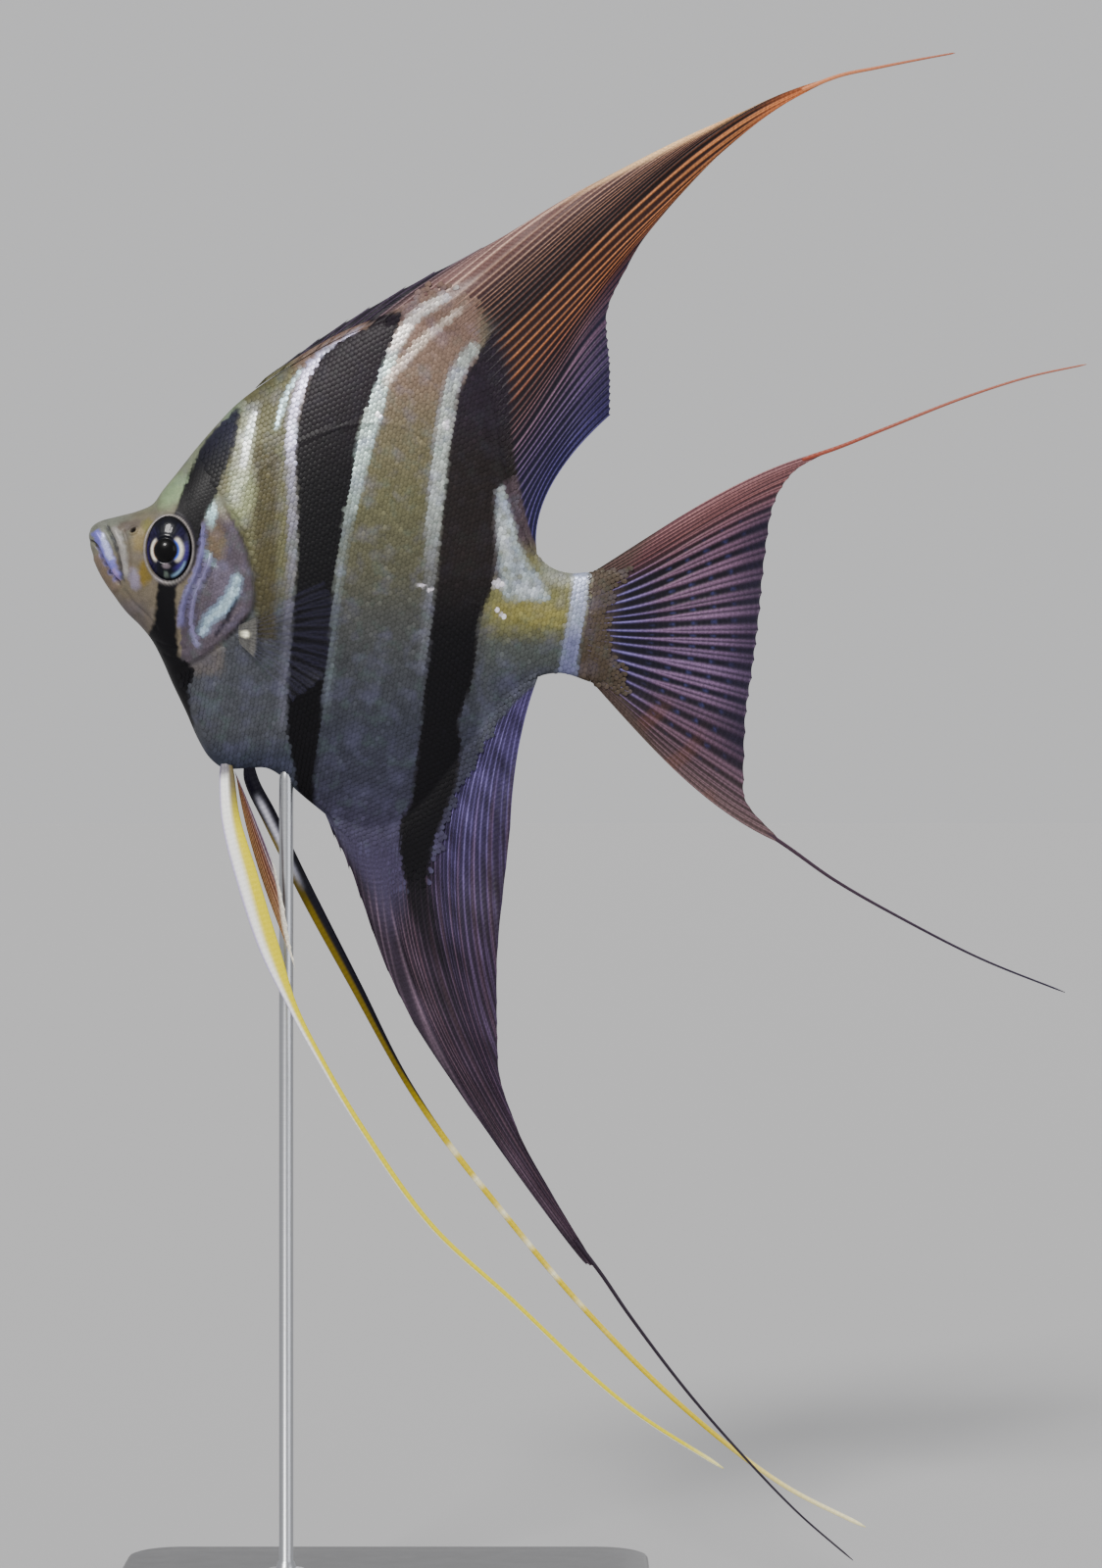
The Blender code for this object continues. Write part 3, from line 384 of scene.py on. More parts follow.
BROW_POINTS = 60  # of the back line, from the snout up to the shoulder
GAP_SHIFT = (-1.6, -0.4)  # from the gill cover's ridge to the dark line ahead of it

BLACK = (5, 4, 8)
SILVER = (206, 210, 208)
TAN = (106, 97, 82)

# The flank's ground colour at each height z.
GROUND = [
    (46, (112, 90, 80)), (34, (110, 92, 78)), (24, (98, 90, 70)), (8, (90, 88, 64)),
    (-8, (78, 77, 62)), (-18, (68, 69, 66)), (-30, (60, 62, 66)), (-44, (50, 52, 62)),
    (-58, (48, 48, 62)), (-75, (62, 56, 80)),
]

# Strength, curve, half widths along it, softness, colour and shine of the wide lines.
LINES = [
    (0.75, SHOULDER_SILVER, (2, 2.1, 2.2, 1.8, 1.2), 1, (138, 142, 126), 0.7),
    (0.9, SHOULDER_GLINT, (0.5, 0.9, 0.7, 0.4), 0.5, SILVER, 0.95),
    (0.8, FRONT_LINE, (0.5, 1, 1.3, 1.3, 1.1, 1, 0.8), 0.8, (128, 126, 146), 0.6),
    (0.95, FRONT_LINE_TWIN, (0.4, 0.6, 0.4), 0.45, (176, 204, 214), 0.95),
    (0.75, MIDDLE_LINE, (1.2, 2.2, 2.2, 1.6, 1.1, 0.9, 0.8), 0.9, (122, 134, 138), 0.65),
    (0.75, REAR_LINE, (1.3, 2.1, 2, 1.5, 0.9), 1, (122, 124, 136), 0.65),
]

# Curve, half widths, the heights between which it brightens, and colour of their bright middles.
BRIGHT_LINES = [
    (FRONT_LINE, (0.5, 0.9, 1, 1, 0.9), (10, 24), (188, 184, 212)),
    (MIDDLE_LINE, (1.3, 1.9, 1.6, 1.2), (0, 18), (176, 196, 190)),
    (REAR_LINE, (1.2, 1.7, 1.5), (-8, 10), (174, 182, 176)),
]


# ---------- markings


class Paint:
    """Colour and shine at many points of the fish's side, laid on in coats of screen colours."""

    def __init__(self, x, z, wobble=0.0):
        self.place = x, z
        seen_x, seen_z = as_seen(x, z)
        self.x = seen_x + wobble * ripple(x, z, 2.6, 0.4)
        self.z = seen_z + wobble * ripple(x, z, 3.1, 1.9)
        self.rgb = np.zeros((len(x), 3))
        self.shine = np.zeros(len(x))

    def lay(self, mask, colour, shine=None):
        """Mixes a colour in where the mask says."""
        self.rgb += mask[:, None] * (srgb(*colour) - self.rgb)
        if shine is not None:
            self.shine += mask * (shine - self.shine)

    def upright(self, left, right, softness=0.5):
        """The mask between two edges, each a list of (z, x) points."""
        inside = soft(self.x - monotone(left)(self.z), -softness, softness)
        inside *= soft(self.x - monotone(right)(self.z), softness, -softness)
        low = min(min(left)[0], min(right)[0])
        high = max(max(left)[0], max(right)[0])
        return inside * soft(self.z, low - 1.0, low + 1.0) * soft(self.z, high + 1.0, high - 1.0)

    def stroke(self, curve, widths, softness=0.5, fade=0.08):
        """The mask along a curve whose half width runs evenly through the given ones."""
        mask = np.zeros(len(self.x))
        close = close_to(curve, self.x, self.z, max(widths) + softness)
        d, place = near_curve(curve, self.x[close], self.z[close])
        half = np.interp(place, np.linspace(0, 1, len(widths)), widths)
        inside = soft(np.abs(d), half + softness, np.maximum(half - softness, 0))
        mask[close] = inside * soft(place, -0.001, fade) * soft(place, 1.001, 1 - fade)
        return mask

    def patch(self, centre, reach, angle_deg=0.0, softness=0.4):
        """The mask of an oval patch."""
        return soft(in_oval(self.x, self.z, centre, reach, angle_deg), 1 + softness, 1 - softness)

    def draw(self, *strokes):
        """Lays on strokes, each (strength, curve, half widths, softness, colour, shine)."""
        for strength, curve, widths, softness, colour, shine in strokes:
            self.lay(strength * self.stroke(curve, widths, softness), colour, shine)

    def dab(self, *patches):
        """Lays on oval patches, each (centre, half sizes, turn in degrees, colour, shine)."""
        for centre, reach, turn, colour, shine in patches:
            self.lay(self.patch(centre, reach, turn), colour, shine)


def paint_ground(paint):
    """The ground colour of the flanks: rust under the dorsal fin, olive, then blue-grey."""
    levels, *channels = np.array([(z, *srgb(*colour)) for z, colour in sorted(GROUND)]).T
    for channel, values in enumerate(channels):
        paint.rgb[:, channel] = np.interp(paint.z, levels, values)
    paint.shine[:] = np.interp(paint.z, [-60, -20, 10, 40], [0.25, 0.35, 0.4, 0.3])


def paint_front(paint):
    """The shoulder and breast in front of the broad bar."""
    ahead = soft(paint.x, 47.0, 44.0)
    paint.lay(ahead * soft(paint.z, -14, -30), (68, 70, 76), 0.35)
    paint.lay(ahead * soft(paint.z, -44, -52), (50, 54, 68), 0.3)
    paint.lay(ahead * soft(paint.z, -20, -6), (88, 86, 62), 0.3)
    brown = paint.upright([(20.0, 36.6), (-24.0, 37.4)], [(20.0, 42.0), (-24.0, 41.6)], 1.0)
    paint.lay(0.8 * brown, (66, 60, 38), 0.15)
    paint.lay(paint.patch((33.6, 8.0), (3.2, 6.5), -10), (118, 122, 92), 0.4)
    brow = back_line[:BROW_POINTS]
    crest = paint.x - np.interp(paint.z, brow[:, 1], brow[:, 0])
    edge = soft(crest, 2.8, 1.2) * soft(paint.z, 6.0, 10.0) * soft(paint.z, 34.0, 26.0)
    paint.lay(0.9 * edge, (112, 128, 104), 0.35)


def paint_head(paint):
    """The snout, cheek, throat and gill cover."""
    d = near_curve(GILL_EDGE, paint.x, paint.z)[0]
    head = soft(d, 0.4, -0.6) * soft(paint.x, 37.5, 36.0)
    head = np.maximum(head, soft(paint.x, 31.0, 27.0) * soft(paint.z, -33.0, -29.0))
    paint.lay(head, TAN, 0.15)
    paint.lay(head * soft(paint.z, 2.0, 8.0), (100, 104, 84), 0.25)
    paint.lay(head * soft(paint.x, 12.0, 5.0) * soft(paint.z, -8.0, 0.0), (106, 108, 98), 0.2)
    paint.lay(head * soft(paint.z, -12.0, -18.0) * soft(paint.x, 15.5, 11.0), (92, 84, 80), 0.2)
    paint.lay(head * soft(paint.z, -23.5, -28.0) * soft(paint.x, 19, 22), (82, 78, 82), 0.3)
    paint.dab(
        ((12.4, -1.6), (3.0, 3.0), 0, (118, 104, 70), 0.15),
        ((8.4, 1.6), (3.2, 1.3), 15, (88, 80, 72), None),
        ((12.6, -8.6), (1.8, 3.6), -20, (112, 95, 44), 0.15),
        ((13.2, 1.6), (1.6, 1.6), 0, (106, 100, 52), 0.15),
        ((19.0, 10.0), (2.2, 5.0), -38, (124, 142, 108), 0.3),
        ((23.6, 17.0), (1.4, 5.0), -38, (112, 118, 98), 0.3),
    )


def paint_gill_cover(paint):
    """The lilac ridges and the bright patches of the gill cover, with painted shade in its crease and
    along its edge.
    """
    cover = soft(near_curve(CHEEK_RIDGE, paint.x, paint.z)[0], -0.8, 0.4)
    cover *= soft(near_curve(GILL_EDGE, paint.x, paint.z)[0], 0.3, -0.3)
    cover *= soft(paint.z, 6.0, 1.0) * soft(paint.z, -31.0, -28.0)
    paint.lay(cover, (78, 70, 78), 0.35)
    paint.lay(cover * paint.patch((28.2, -1.6), (2.4, 4.4), 10), (96, 82, 66), 0.3)
    paint.lay(0.9 * paint.patch((30.4, -11.4), (3.0, 4.4), -12, 0.5) * cover, (98, 90, 104), 0.5)
    paint.draw(
        (0.8, GILL_BLAZE, (0.9, 1.6, 1.6, 1.3, 0.8), 0.9, (132, 160, 184), 0.7),
        (0.9, GILL_BLAZE, (0.4, 0.9, 0.9, 0.4, 0.2), 0.6, (186, 214, 226), 0.9),
    )
    paint.lay(0.8 * paint.patch((27.2, 4.0), (1.1, 2.6), -4, 0.6), (150, 184, 190), 0.8)
    paint.lay(0.8 * paint.patch((26.8, -5.8), (0.9, 2.0), 30, 0.6), (150, 180, 186), 0.8)
    gap = [(x + GAP_SHIFT[0], z + GAP_SHIFT[1]) for x, z in COVER_RIDGE]
    edge = [(x + 0.3, z) for x, z in GILL_EDGE[2:8]]
    paint.draw(
        (0.8, CHEEK_RIDGE, (0.9, 0.8, 0.9), 0.4, (112, 108, 158), 0.5),
        (0.75, COVER_RIDGE, (0.8, 0.7, 0.6), 0.4, (122, 116, 156), 0.5),
        (0.45, gap, (0.3, 0.4, 0.3), 0.4, (62, 54, 62), 0.2),
        # Painted shade: the crease and the groove behind the cover's edge are drawn dark.
        (0.9, COVER_CREASE, (0.3, 0.5, 0.3), 0.35, (26, 22, 34), 0.2),
        (0.65, edge, (0.2, 0.35, 0.2), 0.35, (40, 36, 44), 0.2),
    )


def paint_mouth(paint):
    """Lilac upper lip, tan lower jaw, and the dark lines between them, which are painted shade in the
    mouth's slit and grooves, as is the dark nostril.
    """
    paint.draw(
        (1.0, LOWER_LIP, (1.4, 1.5, 1.4), 0.6, (108, 94, 80), 0.15),
        (0.9, LIP_FOLD, (0.7, 0.9, 0.7), 0.5, (146, 142, 138), 0.3),
        (1.0, UPPER_LIP, (0.9, 1.4, 0.9), 0.5, (110, 108, 182), 0.4),
        (0.85, LIP_SHINE, (0.3, 0.65, 0.4), 0.45, (176, 180, 220), 0.6),
        (0.6, LIP_BLUSH, (0.6, 0.5), 0.4, (162, 134, 176), 0.4),
        # Painted shade: the lip groove, the cheek groove and the mouth's slit are drawn darker.
        (0.8, LIP_GROOVE, (0.2, 0.3, 0.2), 0.3, (54, 54, 60), 0.2),
        (0.4, CHEEK_GROOVE, (0.2, 0.3, 0.2), 0.4, (92, 78, 66), None),
        (0.9, MOUTH, (0.12, 0.18, 0.12), 0.22, (46, 38, 44), 0.1),
    )
    paint.lay(0.7 * paint.patch((10.0, -10.4), (1.3, 2.4), 15), (140, 132, 158), 0.4)
    # Painted shade in the nostril's pit.
    paint.lay(0.9 * paint.patch(NOSTRIL, (0.6, 0.45), NOSTRIL_TURN_DEG), (22, 18, 18), 0.0)


def paint_eye_surround(paint):
    """The pale rim of the eye socket, the dark line round it, and painted shade inside the socket."""
    eye = eye_share(*paint.place)
    paint.lay(0.85 * hump(eye, 1.09, 0.06), (140, 134, 132), 0.45)
    paint.lay(0.6 * hump(eye, 1.21, 0.04) * soft(paint.x, 17, 21), (34, 28, 44))
    # Painted shade: the sunken skin inside the socket, round and under the eyeball, is near black.
    paint.lay(soft(eye, 1.05, 0.98), (14, 11, 20), 0.2)


def paint_lines(paint):
    """The silver and lilac lines between the bars, bright above and faint below."""
    uneven = 0.78 + 0.22 * ripple(paint.x, paint.z, 5.0, 2.3)
    faint = 0.45 + 0.55 * soft(paint.z, -24.0, 10.0)
    for strength, curve, widths, softness, colour, shine in LINES:
        mask = strength * uneven * faint * paint.stroke(curve, widths, softness, 0.05)
        paint.lay(mask, colour, shine)
    for curve, widths, (low, high), colour in BRIGHT_LINES:
        upper = soft(paint.z, low, high)
        paint.lay(0.95 * uneven * upper * paint.stroke(curve, widths, 0.55, 0.04), colour, 1.0)
    front = paint.stroke(MIDDLE_LINE_FRONT, (1.4, 1.2, 0.6), 0.6, 0.2)
    rear = paint.stroke(MIDDLE_LINE_REAR, (1.0, 1.0, 0.5), 0.6, 0.2)
    paint.lay(0.85 * front, (206, 200, 196), 0.95)
    paint.lay(0.8 * rear, (190, 176, 164), 0.9)


def on_stalk(paint):
    """The mask of the tail stalk, behind the rear bar."""
    return soft(paint.x, 86.0, 91.0)


def paint_stalk(paint):
    """The tail stalk: yellow-olive in the middle, grey below, pale above."""
    rear = on_stalk(paint)
    paint.lay(rear * soft(paint.z, -20, -27), (72, 76, 74), 0.35)
    paint.lay(rear * soft(paint.z, -27, -34), (62, 64, 74), 0.35)
    paint.lay(rear * soft(paint.z, -26, -20), (104, 102, 66), 0.35)
    paint.lay(paint.patch((99.0, -18.0), (9.0, 2.6), -6, 0.5), (122, 116, 66), 0.4)
    paint.lay(rear * soft(paint.x, 99, 103) * soft(paint.z, -13, -9.5), (128, 130, 116), 0.5)


def paint_wedge(paint):
    """The silver wedge behind the rear bar, with the dark skin on both sides of it and a painted
    highlight low on it.
    """
    rear = on_stalk(paint)
    ahead = monotone(WEDGE[0])(paint.z) - paint.x
    lining = soft(ahead, -0.6, 0.0) * soft(paint.z, -14.0, -8.0) * rear
    paint.lay(0.9 * lining, (58, 52, 60), 0.25)
    behind = paint.x - monotone(WEDGE[1])(paint.z)
    paint.lay(rear * soft(paint.z, -8.0, 0.0) * soft(behind, -0.3, 0.4), (66, 54, 60), 0.2)
    glitter = 0.7 + 0.3 * ripple(paint.x, paint.z, 4.2, 0.9)
    paint.lay(glitter * paint.upright(*WEDGE, 0.9), (156, 168, 176), 0.95)
    paint.lay(glitter * paint.patch((92.6, -1.0), (1.2, 5.0), 8, 0.6), (206, 212, 214), 1.0)
    paint.lay(glitter * paint.patch((98.0, -12.6), (3.0, 1.8), -14, 0.6), (196, 204, 210), 1.0)
    # A painted highlight: a small near-white spot low on the wedge.
    paint.lay(0.9 * paint.patch((91.6, -11.4), (1.3, 1.0), 0, 0.5), (232, 226, 240), 1.0)


def paint_tail_root(paint):
    """The pale bar at the end of the stalk, and the brown skin behind it."""
    root_bar = paint.upright(*TAIL_ROOT_BAR, 0.8)
    paint.lay(0.85 * root_bar, (158, 166, 194), 0.85)
    paint.lay(0.8 * root_bar * soft(paint.z, -19.0, -25.0), (96, 96, 134), 0.6)
    behind = paint.x - monotone(TAIL_ROOT_BAR[1])(paint.z)
    paint.lay(on_stalk(paint) * soft(behind, 0.2, 1.0), (70, 60, 50), 0.25)


def paint_sparkles(paint):
    """The few scales that flash in the light."""
    for centre, reach in SPARKLES:
        paint.lay(paint.patch(centre, reach, 0, 0.3), (246, 238, 250), 1.0)


def paint_bars(paint):
    """The three dark bars."""
    eye_bar = paint.upright(*EYE_BAR, 0.5)
    paint.lay(eye_bar, BLACK, 0.0)
    paint.lay(0.8 * eye_bar * soft(paint.z, 12.0, 26.0), (38, 38, 54), 0.1)
    broad = paint.upright(*BROAD_BAR, 0.45)
    paint.lay(broad, BLACK, 0.0)
    paint.lay(broad * soft(paint.z, 6.0, 40.0), (26, 18, 26), 0.05)
    rear = paint.upright(*REAR_BAR, 0.6)
    paint.lay(rear, (26, 20, 20), 0.05)
    paint.lay(rear * soft(paint.z, -4.0, -24.0), BLACK, 0.0)
    paint.lay(rear * soft(paint.z, 14.0, 30.0), (30, 22, 32), 0.05)


def paint_side(x, z, wobble=0.22):
    """The whole fish's markings, the same for skin, scales and the roots of the fins."""
    paint = Paint(x, z, wobble)
    for layer in (paint_ground, paint_front, paint_lines, paint_stalk, paint_wedge, paint_tail_root,
                  paint_sparkles, paint_head, paint_gill_cover, paint_bars, paint_eye_surround,
                  paint_mouth):
        layer(paint)
    return paint


# ---------- pieces and materials

RAY_JOINTS = 5.2  # how fast the rays' joints follow, in radians to the mm


def new_piece(name, points, faces):
    """A smooth mesh piece from points of the fish's frame, riding on the model's one body."""
    mesh = bpy.data.meshes.new(name)
    mesh.from_pydata(to_model(points), [], faces)
    mesh.shade_smooth()
    piece = bpy.data.objects.new(name, mesh)
    bpy.context.scene.collection.objects.link(piece)
    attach(piece, "root")
    return piece


def put_values(piece, name, values):
    """One number at each vertex, for the materials to read."""
    attribute = piece.data.attributes.new(name, "FLOAT", "POINT")
    attribute.data.foreach_set("value", np.asarray(values, np.float32).ravel())


def put_pigment(piece, rgb, shine):
    """The colour and the shine at each vertex."""
    colour = piece.data.color_attributes.new("Pigment", "FLOAT_COLOR", "POINT")
    rgba = np.ones((len(rgb), 4), np.float32)
    rgba[:, :3] = np.clip(rgb, 0, 1)
    colour.data.foreach_set("color", rgba.ravel())
    put_values(piece, "Shine", np.clip(shine, 0, 1))


class Nodes:
    """A short way to write a material's node tree."""

    def __init__(self, name):
        self.material = bpy.data.materials.new(name)
        self.material.use_nodes = True
        self.tree = self.material.node_tree
        self.shader = self.tree.nodes["Principled BSDF"]

    def put(self, value, socket):
        """Gives a socket a number or a colour, or links another node's output to it."""
        if isinstance(value, (int, float)):
            socket.default_value = value
        elif isinstance(value, (tuple, np.ndarray)):
            socket.default_value = (*value, 1.0)
        else:
            self.tree.links.new(value, socket)

    def add(self, kind, **settings):
        """A node, with its settings and its inputs by name."""
        node = self.tree.nodes.new(kind)
        for key, value in settings.items():
            if hasattr(node, key):
                setattr(node, key, value)
            else:
                self.put(value, node.inputs[key.replace("_", " ")])
        return node

    def attribute(self, name, output="Fac"):
        """A value or colour kept at the mesh's vertices."""
        return self.add("ShaderNodeAttribute", attribute_name=name).outputs[output]

    def place(self):
        """Coordinates fixed to the model, in metres."""
        return self.add("ShaderNodeTexCoord").outputs["Object"]

    def noise(self, scale, detail=2.0, place=None):
        """Noise with a number of lumps to the metre, as a value from 0 to 1."""
        place = self.place() if place is None else place
        return self.add("ShaderNodeTexNoise", Scale=scale, Detail=detail, Vector=place).outputs["Fac"]

    def span(self, value, low, high, start=0.0, end=1.0):
        """Maps start..end onto low..high."""
        return self.add("ShaderNodeMapRange", Value=value, From_Min=start, From_Max=end,
                        To_Min=low, To_Max=high).outputs["Result"]

    def math(self, operation, first, second):
        """Arithmetic on two values."""
        node = self.add("ShaderNodeMath", operation=operation)
        self.put(first, node.inputs[0])
        self.put(second, node.inputs[1])
        return node.outputs[0]

    def mix(self, mode, share, first, second):
        """Mixes two colours."""
        node = self.add("ShaderNodeMix", data_type="RGBA", blend_type=mode)
        for value, number in ((share, 0), (first, 6), (second, 7)):
            self.put(value, node.inputs[number])
        return node.outputs[2]

    def bump(self, height, strength, distance):
        """Fine relief from a value, with its depth in metres."""
        node = self.add("ShaderNodeBump", Height=height, Strength=strength, Distance=distance)
        self.put(node.outputs["Normal"], self.shader.inputs["Normal"])

    def shade(self, **sockets):
        """Sets or links the shader's own inputs."""
        for key, value in sockets.items():
            self.put(value, self.shader.inputs[key.replace("_", " ")])


def hide_material(name, grain):
    """Living fish skin: mottled pigment, lilac and green play of colour, silver where it shines."""
    nodes = Nodes(name)
    pigment = nodes.attribute("Pigment", "Color")
    shine = nodes.attribute("Shine")
    mottle = nodes.span(nodes.noise(620, 3.0), 0.86, 1.14, 0.3, 0.7)
    fine = nodes.span(nodes.noise(4200), 0.84, 1.16, 0.3, 0.7)
    tone = nodes.mix("MULTIPLY", 1.0, pigment, nodes.math("MULTIPLY", mottle, fine))
    lilac = nodes.math("MULTIPLY", nodes.span(nodes.noise(240), 0.0, 0.3, 0.5, 0.72), shine)
    tone = nodes.mix("MIX", lilac, tone, srgb(138, 136, 184))
    green = nodes.math("MULTIPLY", nodes.span(nodes.noise(310), 0.22, 0.0, 0.3, 0.46), shine)
    tone = nodes.mix("MIX", green, tone, srgb(126, 158, 148))
    metal = nodes.span(shine, 0.0, 0.7)
    dull = nodes.span(nodes.noise(1600), 0.40, 0.60)
    rough = nodes.math("SUBTRACT", dull, nodes.span(shine, 0.0, 0.16))
    nodes.shade(Base_Color=tone, Metallic=metal, Roughness=rough, Coat_Weight=0.03,
                Coat_Roughness=0.2, Specular_IOR_Level=0.14)
    nodes.bump(nodes.noise(3600, 3.0), grain, 0.00012)
    return nodes.material


def fin_material(name, roughness=0.5, fleck=0.28, banding=0.07):
    """A fin's skin: pigment with fine flecks, and the joints of the rays as cross lines."""
    nodes = Nodes(name)
    pigment = nodes.attribute("Pigment", "Color")
    along = nodes.attribute("Along")
    flecks = nodes.span(nodes.noise(2600, 3.0), 1 - fleck, 1 + fleck, 0.3, 0.7)
    joints = nodes.math("SINE", nodes.math("MULTIPLY", along, RAY_JOINTS), 0.0)
    bands = nodes.span(joints, 1 - banding, 1 + banding, -1.0, 1.0)
    tone = nodes.mix("MULTIPLY", 1.0, pigment, nodes.math("MULTIPLY", flecks, bands))
    rough = nodes.span(nodes.noise(900), roughness - 0.1, roughness + 0.1)
    nodes.shade(Base_Color=tone, Roughness=rough, Coat_Weight=0.03, Coat_Roughness=0.25,
                Specular_IOR_Level=0.16)
    nodes.bump(joints, 0.35, 0.00005)
    return nodes


# ---------- the skin

SKIN_ROWS = 280  # from the snout to the end of the tail stalk
SKIN_COLUMNS = 130  # on one side
HEAD_END = 40.0  # rows are closer together in front of this
FINE_STEPS = 2000  # for working out where the rows lie
SNOUT_INSET = 0.04  # how far the skin lies inside the solids at the snout


def inset(x):
    """How far the skin lies inside the solids: by the scales' depth, and hardly at the snout."""
    return SNOUT_INSET + (COAT_DEPTH - SNOUT_INSET) * soft(x, 12.0, 26.0)


def skin_stations():
    """The x of the skin's rows, closest on the head and where the outline is steep."""
    fine = np.linspace(0.0, STALK_END, FINE_STEPS)
    top, bottom = edges_at(fine)
    climb = np.abs(np.gradient(top, fine)) + np.abs(np.gradient(bottom, fine))
    weight = 1 + 1.9 * soft(fine, HEAD_END, HEAD_END - 6) + 0.35 * climb
    run = np.concatenate(([0.0], np.cumsum((weight[1:] + weight[:-1]) / 2)))
    return np.interp(np.linspace(0, run[-1], SKIN_ROWS), run, fine)


def skin_points():
    """The skin's points, by row and round each row, before its relief."""
    x = skin_stations()[:, None]
    u = np.cos(np.pi * np.arange(SKIN_COLUMNS + 1) / SKIN_COLUMNS)[None, :]
    sunk = inset(x)
    top, bottom = edges_at(x)
    top, bottom = top - sunk, bottom + sunk
    middle = middle_at(x, top, bottom)
    z = middle + u * np.where(u > 0, top - middle, middle - bottom)
    lens = np.clip(1 - np.abs(u) ** fullness(x), 0, 1) ** rim(x)
    y = (half_width(x) - sunk) * lens
    right = np.stack(np.broadcast_arrays(x, y, z), axis=-1)
    left = right[:, -2:0:-1] * np.array([1, -1, 1])
    return np.concatenate((right, left), axis=1)


def grid_normals(points):
    """The outward normals of points on closed rings."""
    along = np.gradient(points, axis=0)
    around = np.roll(points, -1, axis=1) - np.roll(points, 1, axis=1)
    normals = np.cross(around, along)
    normals /= np.linalg.norm(normals, axis=2, keepdims=True) + 1e-12
    outward = np.sign((normals[..., 1] * points[..., 1]).sum())
    return normals * outward


def ring_faces(rows, columns):
    """The quads between closed rings, and a cap at each end."""
    i, j = np.meshgrid(np.arange(rows - 1), np.arange(columns), indexing="ij")
    here, after = i * columns + j, i * columns + (j + 1) % columns
    quads = np.stack((here, after, after + columns, here + columns), -1)
    faces = [tuple(q) for q in quads.reshape(-1, 4).tolist()]
    faces.append(tuple(range(columns - 1, -1, -1)))
    faces.append(tuple(range((rows - 1) * columns, rows * columns)))
    return faces


def build_skin():
    """One skin over head, jaws, gill covers, trunk and tail stalk."""
    points = skin_points()
    x, z = points[..., 0], points[..., 2]
    points = points + grid_normals(points) * relief(x, z)[..., None]
    skin = new_piece("skin", points.reshape(-1, 3), ring_faces(*x.shape))
    paint = paint_side(x.ravel(), z.ravel())
    put_pigment(skin, paint.rgb, paint.shine)
    skin.data.materials.append(hide_material("fish_skin", 0.3))
    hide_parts("head", "jaw_upper", "jaw_lower", "gill_cover_left", "gill_cover_right",
                "trunk_front", "trunk_rear", "tail_stalk")


# ---------- the scales

SCALE_PARTS = ("front", "middle", "rear")
SCALE_PITCH = 1.25
HEAD_PITCH = 0.95
COLUMN_PITCH = 0.72  # from one column to the next, in pitches
JITTER = 0.05  # in pitches
LIE_DEG = -10.0  # the way the body runs back, tail end down
LIE_JITTER = 0.04  # in radians
SIDE_SPAN = ((-15, 140), (-110, 90))  # what the scales' columns cover, along and across them
ROW_BEND = (0.9, 70.0)  # how far the rows wave, and over what length
HEAD_SCALES_FROM = 13.5  # the x where the head's scales begin
RIDGE_MARGIN = 0.7  # bare skin on each side of a ridge of the head
COVER_FRINGE = (0.65, 1.15)  # how unevenly the scales end on the fins' roots
SCALE_LENGTH = 1.56  # in pitches
SCALE_WIDTH = 1.12
SCALE_LIFT = (-0.06, 0.17)  # of the front and rear edge over the skin, in mm
SCALE_DOME = 0.04
SCALE_SKIRT = 0.13  # how far its sides reach down
HEAD_LOW = 0.3  # the lift of the head's scales, as a share of the trunk's
LIFT_RANGE = (0.85, 1.15)  # how much the lift differs from one scale to the next
SLOPE_STEP = 0.15  # over which the slope under a scale is measured
SLOPE_LIMIT = 1.2  # no scale is tilted more than this slope
SCALE_SMOOTHING = 0.6  # how much of the markings' change a scale evens out
TONE_RANGE = (0.9, 1.1)  # how much the scales' brightness differs
SILVER_RANGE = (-0.35, 0.25)  # and how much more it does on silver ones
GLINT_CHANCE = 0.03
GLINT = 1.3  # how much brighter a glinting scale is
BAKE_PATCH = 0.003  # each scale's own patch of the unwrap
BAKE_MARGIN = 4.0  # ahead of and behind the scales in the unwrap, in mm
BAKE_HEIGHT = 170.0  # the unrolled side, from top to bottom
DORSAL_FLESH = (0.6, 5.0)  # a fin's fleshy root: its half thickness and its reach
ANAL_FLESH = (0.8, 9.0)
TAIL_FLESH_REACH = 6.0
FIN_WEB = 0.10  # half the thickness of the skin between the rays

# How far outside the body's outline the scales reach at each x, on the back and on the belly.
DORSAL_COVER = [(44, -1), (66, -0.8), (70, 2), (76, 7), (81, 8.5), (88, 7.5),
                (93, 3), (98, -0.8)]
ANAL_COVER = [(54, -1), (60, 4), (66, 13), (76, 13), (83, 4), (94, 0.8),
              (102, -0.8)]
TAIL_COVER = (4.0, 9.0)  # at the middle of the tail fin and at its edges


def cover_reach(x, z):
    """How far outside the body's outline there are scales, at a point near it."""
    on_back = np.interp(x, *np.array(DORSAL_COVER).T)
    on_belly = np.interp(x, *np.array(ANAL_COVER).T)
    return np.where(z > midline(x), on_back, on_belly)


def flesh_height(x, z, out):
    """Half the thickness of a fin's fleshy root at a distance outside the body."""
    out = np.clip(out, 0, None)
    on_back = z > midline(x)
    flesh = np.where(on_back, DORSAL_FLESH[0], ANAL_FLESH[0])
    reach = np.where(on_back, DORSAL_FLESH[1], ANAL_FLESH[1])
    height = FIN_WEB + flesh * hump(out, 0, reach)
    past = np.clip(x - STALK_END, 0, None)
    root = half_thickness(np.minimum(x, STALK_END), z, -COAT_DEPTH)
    stalk = 0.3 + root * hump(past, 0, TAIL_FLESH_REACH)
    return np.where(x > STALK_END, stalk, height)


